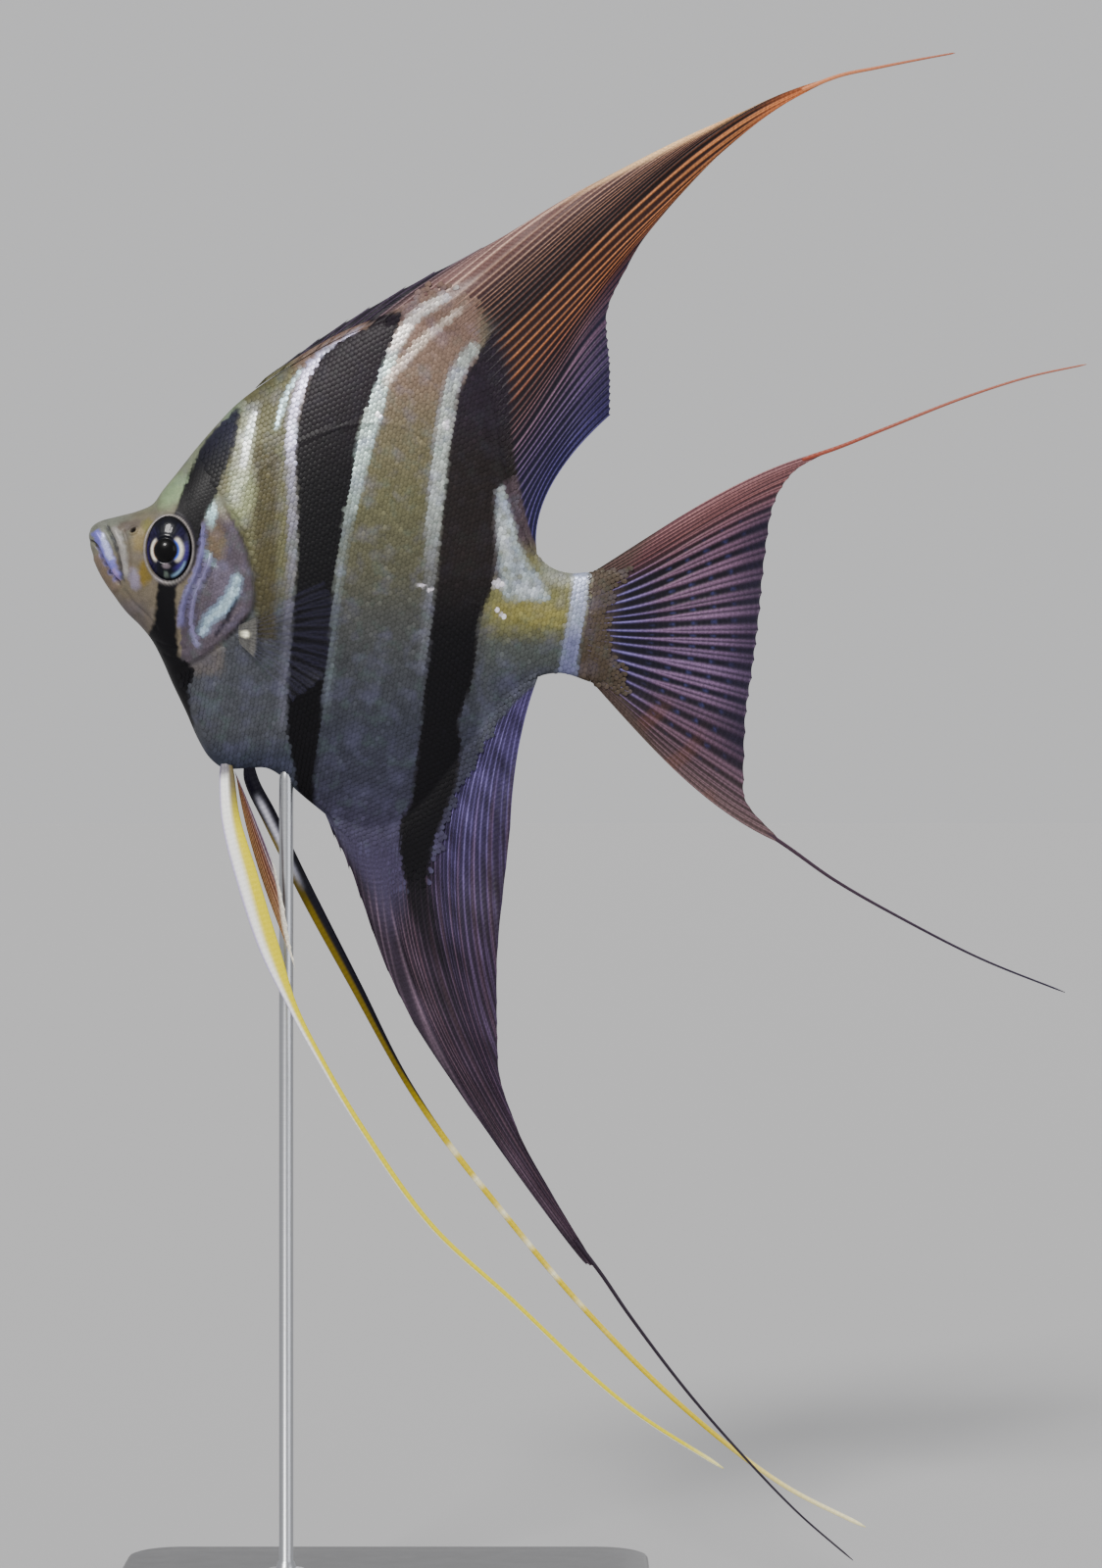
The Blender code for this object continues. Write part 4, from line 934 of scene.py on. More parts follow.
def lattice(pitch, rng):
    """Staggered columns of (x, z) points over the fish's side, square to the lie of the scales."""
    turn = math.radians(LIE_DEG)
    a, b = np.meshgrid(np.arange(*SIDE_SPAN[0], pitch * COLUMN_PITCH), np.arange(*SIDE_SPAN[1], pitch))
    b = b + np.where(np.arange(a.shape[1])[None, :] % 2, pitch / 2, 0)
    a = a + rng.uniform(-JITTER, JITTER, a.shape) * pitch
    b = b + rng.uniform(-JITTER, JITTER, a.shape) * pitch
    x = a * math.cos(turn) - b * math.sin(turn)
    z = a * math.sin(turn) + b * math.cos(turn)
    bend = ROW_BEND[0] * ripple(x, z, ROW_BEND[1])
    return x.ravel(), (z + bend).ravel()


def behind_gill(x, z):
    """How far a point is behind the edge of the gill cover, on the trunk."""
    d, place = near_curve(GILL_EDGE, x, z)
    return np.where(z > 8.0, np.maximum(d, x - 30.0), d)


def on_trunk(x, z, out, fringe):
    """Which points carry the trunk's scales: behind the gill cover, and out on to the fins' roots."""
    reach = cover_reach(x, z)
    keep = out < np.where(reach > 0, reach * fringe, reach)
    keep &= behind_gill(*as_seen(x, z)) > 0.95
    keep &= (x > 30.0) | (out < -1.8)
    to_edge = np.abs(z - midline(np.minimum(x, STALK_END))) / 12.0
    past = TAIL_COVER[0] + (TAIL_COVER[1] - TAIL_COVER[0]) * to_edge**2
    return keep & (x - STALK_END < past * fringe)


def on_head(x, z, out):
    """Which points carry the head's small scales: not the snout, the eye and the ridges."""
    seen = as_seen(x, z)
    keep = (out < -1.4) & (behind_gill(*seen) < -0.8) & (x > HEAD_SCALES_FROM)
    keep &= ((x > 16.5) | (z < -14.0)) & (eye_share(x, z) > 1.3)
    for curve in (CHEEK_RIDGE, COVER_RIDGE, COVER_CREASE):
        keep &= np.abs(near_curve(curve, *seen)[0]) > RIDGE_MARGIN
    return keep


def scale_roots():
    """The middle of each scale of one side, its pitch, and how far it is outside the body."""
    rng = np.random.default_rng(7)
    found = []
    for pitch in (SCALE_PITCH, HEAD_PITCH):
        x, z = lattice(pitch, rng)
        near = (x > 8) & (x < STALK_END + TAIL_COVER[1]) & (z > -86) & (z < 60)
        x, z = x[near], z[near]
        out = outside(x, z)
        fringe = rng.uniform(*COVER_FRINGE, len(x))
        keep = on_trunk(x, z, out, fringe) if pitch == SCALE_PITCH else on_head(x, z, out)
        found.append(np.stack((x[keep], z[keep], np.full(keep.sum(), pitch), out[keep]), 1))
    roots = np.concatenate(found)
    return roots[np.argsort(roots[:, 0])]


def lie_angle(x, z):
    """The way the scales point, turning up on to the dorsal fin and down on to the anal fin."""
    up = 34.0 * soft(z, 26.0, 46.0) * soft(x, 50.0, 66.0) * soft(x, 96.0, 88.0)
    down = -46.0 * soft(z, -34.0, -58.0) * soft(x, 46.0, 60.0) * soft(x, 98.0, 90.0)
    return np.radians(LIE_DEG + up + down)


def scale_pattern():
    """One scale for a pitch of 1: along, across and lift of its points, its faces, and its painted
    shade.
    """
    half = SCALE_LENGTH / 2
    turns = np.radians(np.arange(-90, 91, 30))
    rear = [(half - 0.52 + 0.52 * math.cos(t), SCALE_WIDTH / 2 * math.sin(t)) for t in turns]
    front = [(0.2 - half, 0.36), (-half, 0.0), (0.2 - half, -0.36)]
    outline = np.array(rear + front)
    count = len(outline)
    flat = np.concatenate((outline, outline * 0.7 + [0.05, 0], [[0.12, 0.0]], outline))
    rise = np.interp(flat[:, 0], (-half, half), SCALE_LIFT)
    rise[count:2 * count] += SCALE_DOME * 0.8
    rise[2 * count] += SCALE_DOME
    rise[2 * count + 1:] -= SCALE_SKIRT
    faces = []
    for k in range(count):
        after = (k + 1) % count
        faces.append((k, after, count + after, count + k))
        faces.append((count + k, count + after, 2 * count))
        faces.append((2 * count + 1 + k, 2 * count + 1 + after, after, k))
    faces.append(tuple(range(3 * count, 2 * count, -1)))
    # Painted light and shade on each scale: darker on its skirt and at its front, which the scale ahead
    # overlaps, lighter on its raised middle and rear.
    shade = np.full(len(flat), 0.80)
    shade[:count] = np.where(outline[:, 0] > 0, 0.84, 0.74)
    shade[count:2 * count] = np.where(outline[:, 0] > 0, 1.10, 0.86)
    shade[2 * count] = 1.08
    return flat, rise, faces, shade


def surface(x, z, roots):
    """The outward height and normal, for the right side, of what the scales lie on."""
    step = SLOPE_STEP
    x0, z0, _, out = roots
    lean_x = (outside(x0 + step, z0) - out) / step
    lean_z = (outside(x0, z0 + step) - out) / step

    def height(px, pz):
        far = out + lean_x * (px - x0) + lean_z * (pz - z0)
        body = np.where(px < STALK_END, half_thickness(px, pz, -COAT_DEPTH), 0)
        rooted = (px > STALK_END) | (cover_reach(px, pz) > -0.5)
        return np.where(rooted, np.maximum(body, flesh_height(px, pz, far)), body)

    y = height(x, z)
    slope_x = np.clip((height(x + step, z) - y) / step, -SLOPE_LIMIT, SLOPE_LIMIT)
    slope_z = np.clip((height(x, z + step) - y) / step, -SLOPE_LIMIT, SLOPE_LIMIT)
    normal = np.stack((-slope_x, np.ones_like(y), -slope_z), -1)
    return y + relief(x, z), normal / np.linalg.norm(normal, axis=-1, keepdims=True)


def scale_faces(pattern, points_each, count, side):
    """The faces of that many copies of one scale, turned to look outward on either side."""
    first = np.arange(count)[:, None] * points_each
    faces = []
    for face in pattern:
        corners = np.array(face if side > 0 else face[::-1])
        faces += [tuple(corner) for corner in (first + corners).tolist()]
    return faces


def build_scales(label, side, roots, seed):
    """The scales of one part of one side as one joined mesh: a row of points for each scale."""
    rng = np.random.default_rng(seed)
    flat, rise, pattern, shade = scale_pattern()
    roots = roots.T[..., None]
    x0, z0, pitch, out = roots
    angle = lie_angle(x0, z0) + rng.normal(0, LIE_JITTER, x0.shape)
    size = pitch * (1 - 0.15 * soft(out, -3.0, np.maximum(cover_reach(x0, z0), 0.5)))
    size *= 1 - 0.2 * soft(x0, STALK_END, STALK_END + 6.0)
    along, across = flat[:, 0] * size, flat[:, 1] * size
    x = x0 + along * np.cos(angle) - across * np.sin(angle)
    z = z0 + along * np.sin(angle) + across * np.cos(angle)
    y, normal = surface(x, z, roots)
    low = np.where(pitch < SCALE_PITCH, HEAD_LOW, 1.0) * rng.uniform(*LIFT_RANGE, pitch.shape)
    low *= 1 - 0.5 * soft(out, 0.0, 5.0)
    points = np.stack((x, y, z), -1) + normal * (rise * low)[..., None]
    points[..., 1] *= side
    faces = scale_faces(pattern, len(flat), len(x0), side)
    scales = new_piece(f"scales_{label}", points.reshape(-1, 3), faces)
    scales.data.set_sharp_from_angle(angle=math.radians(35))
    paint_scales(scales, x0, z0, x, z, shade, rng)
    unwrap_scales(scales, x0, z0, flat)
    scales.data.materials.append(hide_material(f"fish_scales_{label}", 0.2))
    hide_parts("trunk_front", "trunk_rear", "tail_stalk")


def paint_scales(scales, x0, z0, x, z, shade, rng):
    """The side's markings on each scale, with its edge and front darker as painted shade; silver ones
    differ and may glint.
    """
    near_x = x0 + (1 - SCALE_SMOOTHING) * (x - x0)
    near_z = z0 + (1 - SCALE_SMOOTHING) * (z - z0)
    paint = paint_side(near_x.ravel(), near_z.ravel())
    silver = soft(paint.shine.reshape(x.shape)[:, :1], 0.6, 0.95)
    each = rng.uniform(*TONE_RANGE, x0.shape)
    each *= 1 + silver * rng.uniform(*SILVER_RANGE, x0.shape)
    each *= np.where(rng.random(x0.shape) < GLINT_CHANCE, GLINT, 1.0)
    put_pigment(scales, paint.rgb * (shade * each).reshape(-1, 1), paint.shine)


def unrolled(x, z):
    """How far round the body's side a point is from the middle line, up or down."""
    middle = midline(x)
    zs = middle + np.linspace(0, 1, 17) * (z - middle)
    ys = half_thickness(x + 0 * zs, zs)
    length = np.hypot(np.diff(zs, axis=1), np.diff(ys, axis=1)).sum(1, keepdims=True)
    return np.sign(z - middle) * length


def unwrap_scales(scales, x0, z0, flat):
    """OFBake: each scale is a small patch at its root's place on the unrolled side of the body."""
    patch = flat / SCALE_LENGTH * BAKE_PATCH
    u = (x0 + BAKE_MARGIN) / (STALK_END + TAIL_COVER[1] + 2 * BAKE_MARGIN) + patch[:, 0]
    v = 0.5 + unrolled(x0, z0) / BAKE_HEIGHT + patch[:, 1]
    per_vertex = np.stack((u.ravel(), v.ravel()), 1).astype(np.float32)
    layer = scales.data.uv_layers.new(name="OFBake")
    corner = np.zeros(len(scales.data.loops), np.int32)
    scales.data.loops.foreach_get("vertex_index", corner)
    layer.data.foreach_set("uv", per_vertex[corner].ravel())


# ---------- the eyes

EYE_RINGS = 40
EYE_SPOKES = 72
EYE_APEX_Y = 8.8  # how far the eye's middle stands out sideways
EYE_EDGE_Y = 6.7  # and how far its edge does
EYE_PIVOT_Y = 5.4  # how far out the point is that the eye is turned about
EYE_TURN_DEG = 10  # how far the eye is turned to look forward
EYE_BACK_Y = 3.2  # how far out the eyeball's back is, inside the head
EYE_BACK_SHARE = 0.7  # the size of the eyeball's back against its face
PUPIL = (18.2, -4.45)
PUPIL_RADIUS = 2.6
LENS_RISE = 0.45  # how far the pupil bulges
IRIS_RING_RADIUS = 3.35
IRIS_FURROWS = 31

# Two pale marks on the iris: place from the pupil, half sizes, colour.
EYE_SPOTS = [((0.2, -3.5), (0.9, 0.55), (140, 128, 136)), ((0, -5.4), (0.4, 0.8), (104, 116, 108))]


def eye_grid():
    """Points of an eye's face in its own plane: rings that turn from round to the eye's oval."""
    s = np.linspace(0.0, 1.12, EYE_RINGS)[1:, None]
    angle = 2 * np.pi * np.arange(EYE_SPOKES)[None, :] / EYE_SPOKES
    oval = 1 / np.hypot(np.cos(angle) / EYE_REACH[0], np.sin(angle) / EYE_REACH[1])
    share = soft(s, 0.45, 0.9)
    radius = s * ((1 - share) * EYE_REACH[0] + share * oval)
    centre = np.array(EYE_CENTRE) * share[..., None] + np.array(PUPIL) * (1 - share[..., None])
    x = centre[..., 0] + radius * np.cos(angle)
    z = centre[..., 1] + radius * np.sin(angle)
    return x, z, s + 0 * angle, angle + 0 * s


def eye_depth(x, z, s, angle):
    """The eye's height outward: a low dome, a raised silver ring, furrows, and the lens."""
    from_pupil = np.hypot(x - PUPIL[0], z - PUPIL[1])
    dome = EYE_EDGE_Y + (EYE_APEX_Y - EYE_EDGE_Y) * np.clip(1 - s**2, -0.3, 1)
    ring = 0.13 * hump(from_pupil, IRIS_RING_RADIUS, 0.5)
    lens = LENS_RISE * np.sqrt(np.clip(1 - (from_pupil / PUPIL_RADIUS) ** 2, 0, 1))
    pit = -0.22 * hump(from_pupil, PUPIL_RADIUS + 0.12, 0.22)
    furrows = 0.035 * np.sin(angle * IRIS_FURROWS) * soft(from_pupil, 3.6, 4.4) * soft(s, 1.0, 0.8)
    return dome + ring + lens + pit + furrows


def eye_colours(x, z, s, angle):
    """Black pupil, silver arcs at its sides, and a dark violet iris."""
    x, z, s, turn = x.ravel(), z.ravel(), s.ravel(), angle.ravel()
    paint = Paint(x, z)
    side_x, side_z = x - PUPIL[0], z - PUPIL[1]
    out = np.hypot(side_x, side_z)
    round_ring = np.hypot(side_x - 0.3, side_z)
    side = np.abs(np.cos(turn)) ** 1.4
    paint.lay(np.ones(len(x)), (20, 16, 42), 0.15)
    paint.lay(soft(side, 0.6, 0.2), (9, 11, 20), 0.1)
    violet = soft(out, 3.8, 4.6) * soft(s, 1.0, 0.9)
    paint.lay(0.7 * soft(np.cos(turn + 0.45), 0.6, 0.95) * violet, (58, 42, 124), 0.3)
    paint.lay(0.5 * soft(np.cos(turn + 3.0), 0.8, 0.98) * violet, (84, 70, 138), 0.3)
    streaks = 0.3 * soft(np.sin(turn * IRIS_FURROWS + 0.6 * out), 0.2, 1.0) * soft(out, 3.8, 4.4)
    paint.lay(streaks * side, (64, 60, 112), 0.3)
    thick = np.where(side_x > 0, 0.44, 0.34)
    ring = hump(round_ring, IRIS_RING_RADIUS, thick) * soft(side, 0.45, 0.75)
    paint.lay(0.97 * ring, (246, 240, 222), 0.4)
    inner = hump(round_ring, IRIS_RING_RADIUS - 0.55, 0.22) * soft(side, 0.5, 0.8)
    paint.lay(0.9 * inner * (side_x > 0), (30, 86, 220), 0.3)
    paint.lay(0.9 * inner * (side_x <= 0), (150, 84, 30), 0.3)
    for (dx, dz), reach, colour in EYE_SPOTS:
        spot = in_oval(x, z, (PUPIL[0] + dx, PUPIL[1] + dz), reach)
        paint.lay(0.7 * soft(spot, 1.4, 0.6), colour, 0.4)
    # A painted highlight: a thin grey-blue arc at the eye's lower rear rim.
    arc = hump(s, 0.9, 0.045) * soft(np.cos(turn + 1.0), 0.88, 0.97)
    paint.lay(0.8 * arc, (140, 176, 204), 0.5)
    paint.lay(soft(out, PUPIL_RADIUS + 0.15, PUPIL_RADIUS - 0.1), (1, 1, 2), 0.0)
    paint.lay(soft(s, 0.95, 1.02), (8, 7, 12), 0.1)
    return paint


def eye_material(name):
    """A wet eye: pigment and silver under a clear smooth coat."""
    nodes = Nodes(name)
    fleck = nodes.span(nodes.noise(2600, 3.0), 0.8, 1.2, 0.3, 0.7)
    tone = nodes.mix("MULTIPLY", 1.0, nodes.attribute("Pigment", "Color"), fleck)
    metal = nodes.span(nodes.attribute("Shine"), 0.0, 0.6)
    rough = nodes.span(nodes.noise(1500), 0.24, 0.4)
    nodes.shade(Base_Color=tone, Metallic=metal, Roughness=rough, Coat_Weight=0.35,
                Coat_Roughness=0.03, Coat_IOR=1.33, Specular_IOR_Level=0.1)
    return nodes.material


def eye_points(x, z, depth, side):
    """The eyeball's points: its face, a smaller ring at its back, and the middle of the pupil."""
    face = np.stack((x, depth, z), -1).reshape(-1, 3)
    back = face[-EYE_SPOKES:] * np.array([1, 0, 1]) + np.array([0, EYE_BACK_Y, 0])
    pivot = np.array(EYE_CENTRE)
    back[:, [0, 2]] = pivot + EYE_BACK_SHARE * (back[:, [0, 2]] - pivot)
    points = np.concatenate((face, back, [[PUPIL[0], EYE_APEX_Y + LENS_RISE, PUPIL[1]]]))
    turn = math.radians(-EYE_TURN_DEG)
    ahead = points[:, 0] - EYE_CENTRE[0]
    outward = points[:, 1] - EYE_PIVOT_Y
    points[:, 0] = EYE_CENTRE[0] + ahead * math.cos(turn) + outward * math.sin(turn)
    points[:, 1] = side * (EYE_PIVOT_Y - ahead * math.sin(turn) + outward * math.cos(turn))
    return points


def build_eye(label, side):
    """One eyeball: a modelled face, and a round back inside the head."""
    x, z, s, angle = eye_grid()
    paint = eye_colours(x, z, s, angle)
    points = eye_points(x, z, eye_depth(x, z, s, angle), side)
    middle = EYE_RINGS * EYE_SPOKES
    faces = ring_faces(EYE_RINGS, EYE_SPOKES)[:-2]
    faces += [(middle, (j + 1) % EYE_SPOKES, j) for j in range(EYE_SPOKES)]
    faces.append(tuple(range(middle - EYE_SPOKES, middle)))
    if side > 0:
        faces = [face[::-1] for face in faces]
    eye = new_piece(f"eyeball_{label}", points, faces)
    back = np.tile(srgb(10, 9, 16), (EYE_SPOKES, 1))
    rgb = np.concatenate((paint.rgb, back, [srgb(4, 4, 8)]))
    put_pigment(eye, rgb, np.concatenate((paint.shine, np.zeros(EYE_SPOKES + 1))))
    eye.data.materials.append(eye_material(f"eye_{label}_wet"))
    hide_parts(f"eye_{label}")


# ---------- fins

FIN_BURY = 2.6  # how far a fin's root reaches into the body
RAY_STEPS = 8  # columns from one ray to the next

# Each guide ray: root along the body, angle at the root, tip x, tip z, angle at the tip.
DORSAL_RAYS = [
    (39.4, 45, 42.2, 37, 45), (49.9, 45, 54.8, 46, 42), (59.2, 42, 72.4, 56.2, 38),
    (66.9, 40, 94.4, 67.6, 30), (72.4, 38, 107.6, 75.6, 30), (79.4, 38, 138.4, 91.2, 24),
    (82.8, 39, 156, 98.3, 18), (86, 40, 168.1, 102.7, 12), (89.8, 45, 150.5, 93, 40),
    (92, 48, 122.5, 63, 48), (93.3, 50, 116.2, 48, 46), (95.2, 56, 117, 36.5, 45),
    (100, 96, 117, 26.6, 42),
]
ANAL_RAYS = [
    (53.8, -66, 55.2, -68.6, -66), (57.4, -80, 59, -77, -76), (61.4, -84, 67.3, -99, -68),
    (65.3, -88, 73.9, -112, -62), (68.9, -98, 111.5, -164.2, -54),
    (73.5, -104, 114, -165, -54), (79, -107, 104, -148.5, -58),
    (84.5, -110, 96, -133.5, -62), (90, -113, 91.8, -118.5, -68),
    (95.5, -113, 91.5, -99, -80), (100.2, -110, 94.5, -66, -92),
]
TAIL_RAYS = [
    (-9.2, 32, 167.4, 18.9, 12), (-11.8, 26, 158, 13.4, 22), (-14.6, 20, 153.4, 5, 20),
    (-18, 7, 151.6, -7.5, 12), (-21.4, -1, 150.4, -20, 2), (-25, -10, 149, -31, -10),
    (-28.6, -30, 147.4, -43, -22), (-31.4, -44, 147, -58, -34), (-33.4, -48, 156, -70.2, -22),
]
PECTORAL_RAYS = [(-20.6, 22, 53.6, -11.5, 18), (-22.2, 2, 57, -20, -2),
                 (-24.4, -18, 54.5, -31.5, -24), (-26.4, -42, 46.5, -38.5, -50)]
LEFT_WEB_RAYS = [(-55.4, -66, 42.4, -76, -68), (-56, -70, 44.6, -86, -66),
                 (-56.8, -75, 45.6, -92.4, -66), (-57.6, -80, 47, -98.6, -68)]

# Where the rays stand, in guide rays' numbers.
DORSAL_SPREAD = np.concatenate((
    np.linspace(0, 4.6, 13), np.linspace(4.85, 7.0, 10), np.linspace(7.2, 8.5, 8),
    np.linspace(8.75, 9.8, 6), np.linspace(10.05, 12, 13)))
ANAL_SPREAD = np.concatenate((np.linspace(0, 3.7, 10), np.linspace(4.0, 10, 25)))
TAIL_SPREAD = np.concatenate((np.linspace(0, 1.4, 7), np.linspace(1.75, 6.5, 15),
                              np.linspace(6.85, 8, 6)))

# The colours of the rays, and of the web between them, as (guide ray's number, red, green, blue).
DORSAL_RAY = [
    (0, 58, 46, 72), (2.4, 80, 62, 86), (3.3, 186, 154, 148), (4.6, 214, 172, 148),
    (6.2, 192, 138, 112), (6.8, 118, 76, 64), (7.15, 112, 66, 50), (7.45, 246, 156, 92),
    (8.3, 228, 138, 80), (8.8, 162, 98, 78), (9.6, 144, 102, 112), (10.5, 112, 86, 126),
    (12, 92, 84, 156),
]
DORSAL_WEB = [
    (0, 16, 10, 22), (2.6, 22, 15, 28), (3.4, 112, 82, 80), (4.4, 100, 70, 66), (5.2, 58, 36, 37),
    (6.2, 26, 15, 19), (7.2, 14, 8, 12), (7.6, 44, 22, 18), (8.3, 40, 20, 19), (8.9, 24, 14, 20),
    (10, 14, 10, 24), (12, 16, 14, 46),
]
ANAL_RAY = [(0, 52, 42, 58), (3, 112, 92, 108), (4.5, 112, 88, 104), (6, 92, 72, 96),
            (8, 90, 72, 104), (10, 96, 80, 120)]
ANAL_WEB = [(0, 16, 12, 20), (3, 44, 34, 48), (4.5, 38, 28, 40), (6, 27, 20, 34), (8, 30, 23, 42),
            (10, 32, 25, 50)]
TAIL_RAY = [(0, 172, 124, 124), (1.2, 140, 90, 90), (2.2, 118, 86, 108), (5, 120, 94, 130),
            (6.6, 100, 74, 92), (8, 110, 88, 90)]
TAIL_WEB = [(0, 104, 68, 74), (1.3, 60, 37, 43), (2.2, 14, 10, 20), (5.6, 12, 10, 26),
            (6.8, 34, 25, 32), (8, 74, 58, 58)]
PELVIC_RAY = [(0, 226, 224, 238), (0.8, 160, 118, 96), (3, 180, 150, 110)]
PELVIC_WEB = [(0, 84, 66, 90), (1.2, 84, 48, 32), (3, 104, 70, 34)]

PECTORAL_ROOT_X = 35.6  # its rays' roots stand in an upright row here
PECTORAL_OUT = (9.2, 4.4)  # how far the fan stands out at its root, and how much more
PECTORAL_GLINT = ((35.8, -23.2), (0.9, 0.9))  # place and half sizes of the shine at its root
WEB_ROOT_X = 33.6  # of the short soft rays behind the left blade


def on_contour(rays, line, outward):
    """Guide rays whose roots are distances along a body contour, and the function for a root."""
    steps = np.diff(line, axis=0)
    run = np.concatenate(([0.0], np.cumsum(np.linalg.norm(steps, axis=1))))
    normal = np.stack((-np.gradient(line[:, 1]), np.gradient(line[:, 0])), 1) * outward
    normal /= np.linalg.norm(normal, axis=1, keepdims=True)
    off = line + 0.4 * normal
    guides = [(float(np.interp(ray[0], line[:, 0], run)), *ray[1:]) for ray in rays]

    def root(mark):
        return np.interp(mark, run, off[:, 0]), np.interp(mark, run, off[:, 1])

    return guides, root


def ray_points(guides, root_of, number, t, bury=FIN_BURY):
    """Points along rays: t is 0 at the body, 1 at the tip, and below 0 inside the body."""
    count = range(len(guides))
    mark, root_deg, tip_x, tip_z, tip_deg = [
        monotone([(i, guides[i][k]) for i in count])(number) for k in range(5)]
    root_x, root_z = root_of(mark)
    chord = np.hypot(tip_x - root_x, tip_z - root_z)
    leave, arrive = np.radians(root_deg), np.radians(tip_deg)
    s, u = np.clip(t, 0, None), 1 - np.clip(t, 0, None)
    deep = np.clip(-t, 0, None) * bury

    def curve(root, tip, heading_out, heading_in):
        first = root + chord / 3 * heading_out
        second = tip - chord / 3 * heading_in
        return (u**3 * root + 3 * u * u * s * first + 3 * u * s * s * second + s**3 * tip
                - deep * heading_out)

    x = curve(root_x, tip_x, np.cos(leave), np.cos(arrive))
    z = curve(root_z, tip_z, np.sin(leave), np.sin(arrive))
    return x, z, chord


class Fin:
    """The columns and rows of one fin: ray numbers across, and the way out along each ray."""

    def __init__(self, guides, root_of, rays, rows, notch, split=2.0, steps=RAY_STEPS, bury=FIN_BURY,
                 spiky=None, ridge=0.13, part=0.2, uneven=0.18, dim=0.45):
        rng = np.random.default_rng(len(rays))
        shift = rng.uniform(-uneven, uneven, len(rays)) * np.gradient(rays)
        shift[[0, -1]] = 0
        self.rays = np.asarray(rays, float) + shift
        order = np.linspace(0, len(rays) - 1, (len(rays) - 1) * steps + 1)
        self.number = np.interp(order, np.arange(len(rays)), self.rays)[:, None]
        self.strength = rng.uniform(dim, 1.1, len(rays))[np.round(order).astype(int)][:, None]
        off_ray = np.abs(order - np.round(order))[:, None]
        t = np.linspace(0, 1, rows)[None, :]
        self.chord = ray_points(guides, root_of, self.number, np.zeros_like(t))[2]
        power = spiky(self.number) if spiky else 0.8
        edge = 1 - np.minimum(notch(self.number) / self.chord, 0.6) * np.sin(np.pi * off_ray) ** power
        self.t = np.concatenate((-1.0 + 0 * edge, t * edge), axis=1)
        branch = part * soft(self.t, split, split + 0.3)
        self.crest = hump(off_ray, branch, ridge)
        self.x, self.z, _ = ray_points(guides, root_of, self.number, self.t, bury)
        self.out = np.clip(self.t, 0, 1) * self.chord
        self.off_ray = off_ray + 0 * self.t

    def middle(self, lean, wave, seed=0.0):
        """The fin's middle surface: it leans to one side at its tips and waves a little."""
        t = np.clip(self.t, 0, 1)
        return lean * t**2 + wave * soft(t, 0.1, 0.5) * ripple(self.x, self.z, 46.0, seed)

    def thickness(self, web, ray, tip_share=0.4, flesh=0.5, flesh_reach=3.0):
        """Half the fin's thickness: web, rays that taper, and flesh at the root."""
        t = np.clip(self.t, 0, 1)
        taper = 1 - (1 - tip_share) * t
        half = web + ray * self.crest * taper + flesh * hump(self.out, 0, flesh_reach)
        return np.where(self.t < 0, 0.5 * half, half)

    def streak(self, share):
        """How much of the ray's own colour shows at each point."""
        return share * self.crest * self.strength


def sheet_faces(columns, rows):
    """The faces of a closed sheet with two sides, whose points are all of one side, then the other."""
    i, j = np.meshgrid(np.arange(columns - 1), np.arange(rows - 1), indexing="ij")
    a = (i * rows + j).ravel()
    quads = np.stack((a, a + 1, a + rows + 1, a + rows), 1)
    total = columns * rows
    grid = np.arange(total).reshape(columns, rows)
    loop = np.concatenate((grid[:-1, 0], grid[-1, :-1], grid[:0:-1, -1], grid[0, :0:-1]))
    after = np.roll(loop, -1)
    border = np.stack((loop, after, after + total, loop + total), 1)
    faces = np.concatenate((quads, quads[:, ::-1] + total, border[:, ::-1]))
    return [tuple(face) for face in faces.tolist()]


def new_fin(name, fin, middle, half, rgb, shine, material, replaced):
    """A fin as a closed mesh with both its sides."""
    near = np.stack((fin.x, middle - half, fin.z), -1).reshape(-1, 3)
    far = np.stack((fin.x, middle + half, fin.z), -1).reshape(-1, 3)
    points = np.concatenate((near, far))
    piece = new_piece(name, points, sheet_faces(*fin.x.shape))
    put_pigment(piece, np.tile(rgb.reshape(-1, 3), (2, 1)), np.tile(shine.ravel(), 2))
    put_values(piece, "Along", np.tile(fin.out.ravel(), 2))
    piece.data.materials.append(material)
    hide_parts(*replaced)
    return piece


def root_paint(fin, rgb, shine, reach, fade):
    """Carries the body's markings out on to the root of a fin."""
    paint = paint_side(fin.x.ravel(), fin.z.ravel())
    share = soft(fin.out, fade, reach)
    rgb = blend(rgb, paint.rgb.reshape(rgb.shape), share)
    return rgb, shine + share * (paint.shine.reshape(shine.shape) - shine)


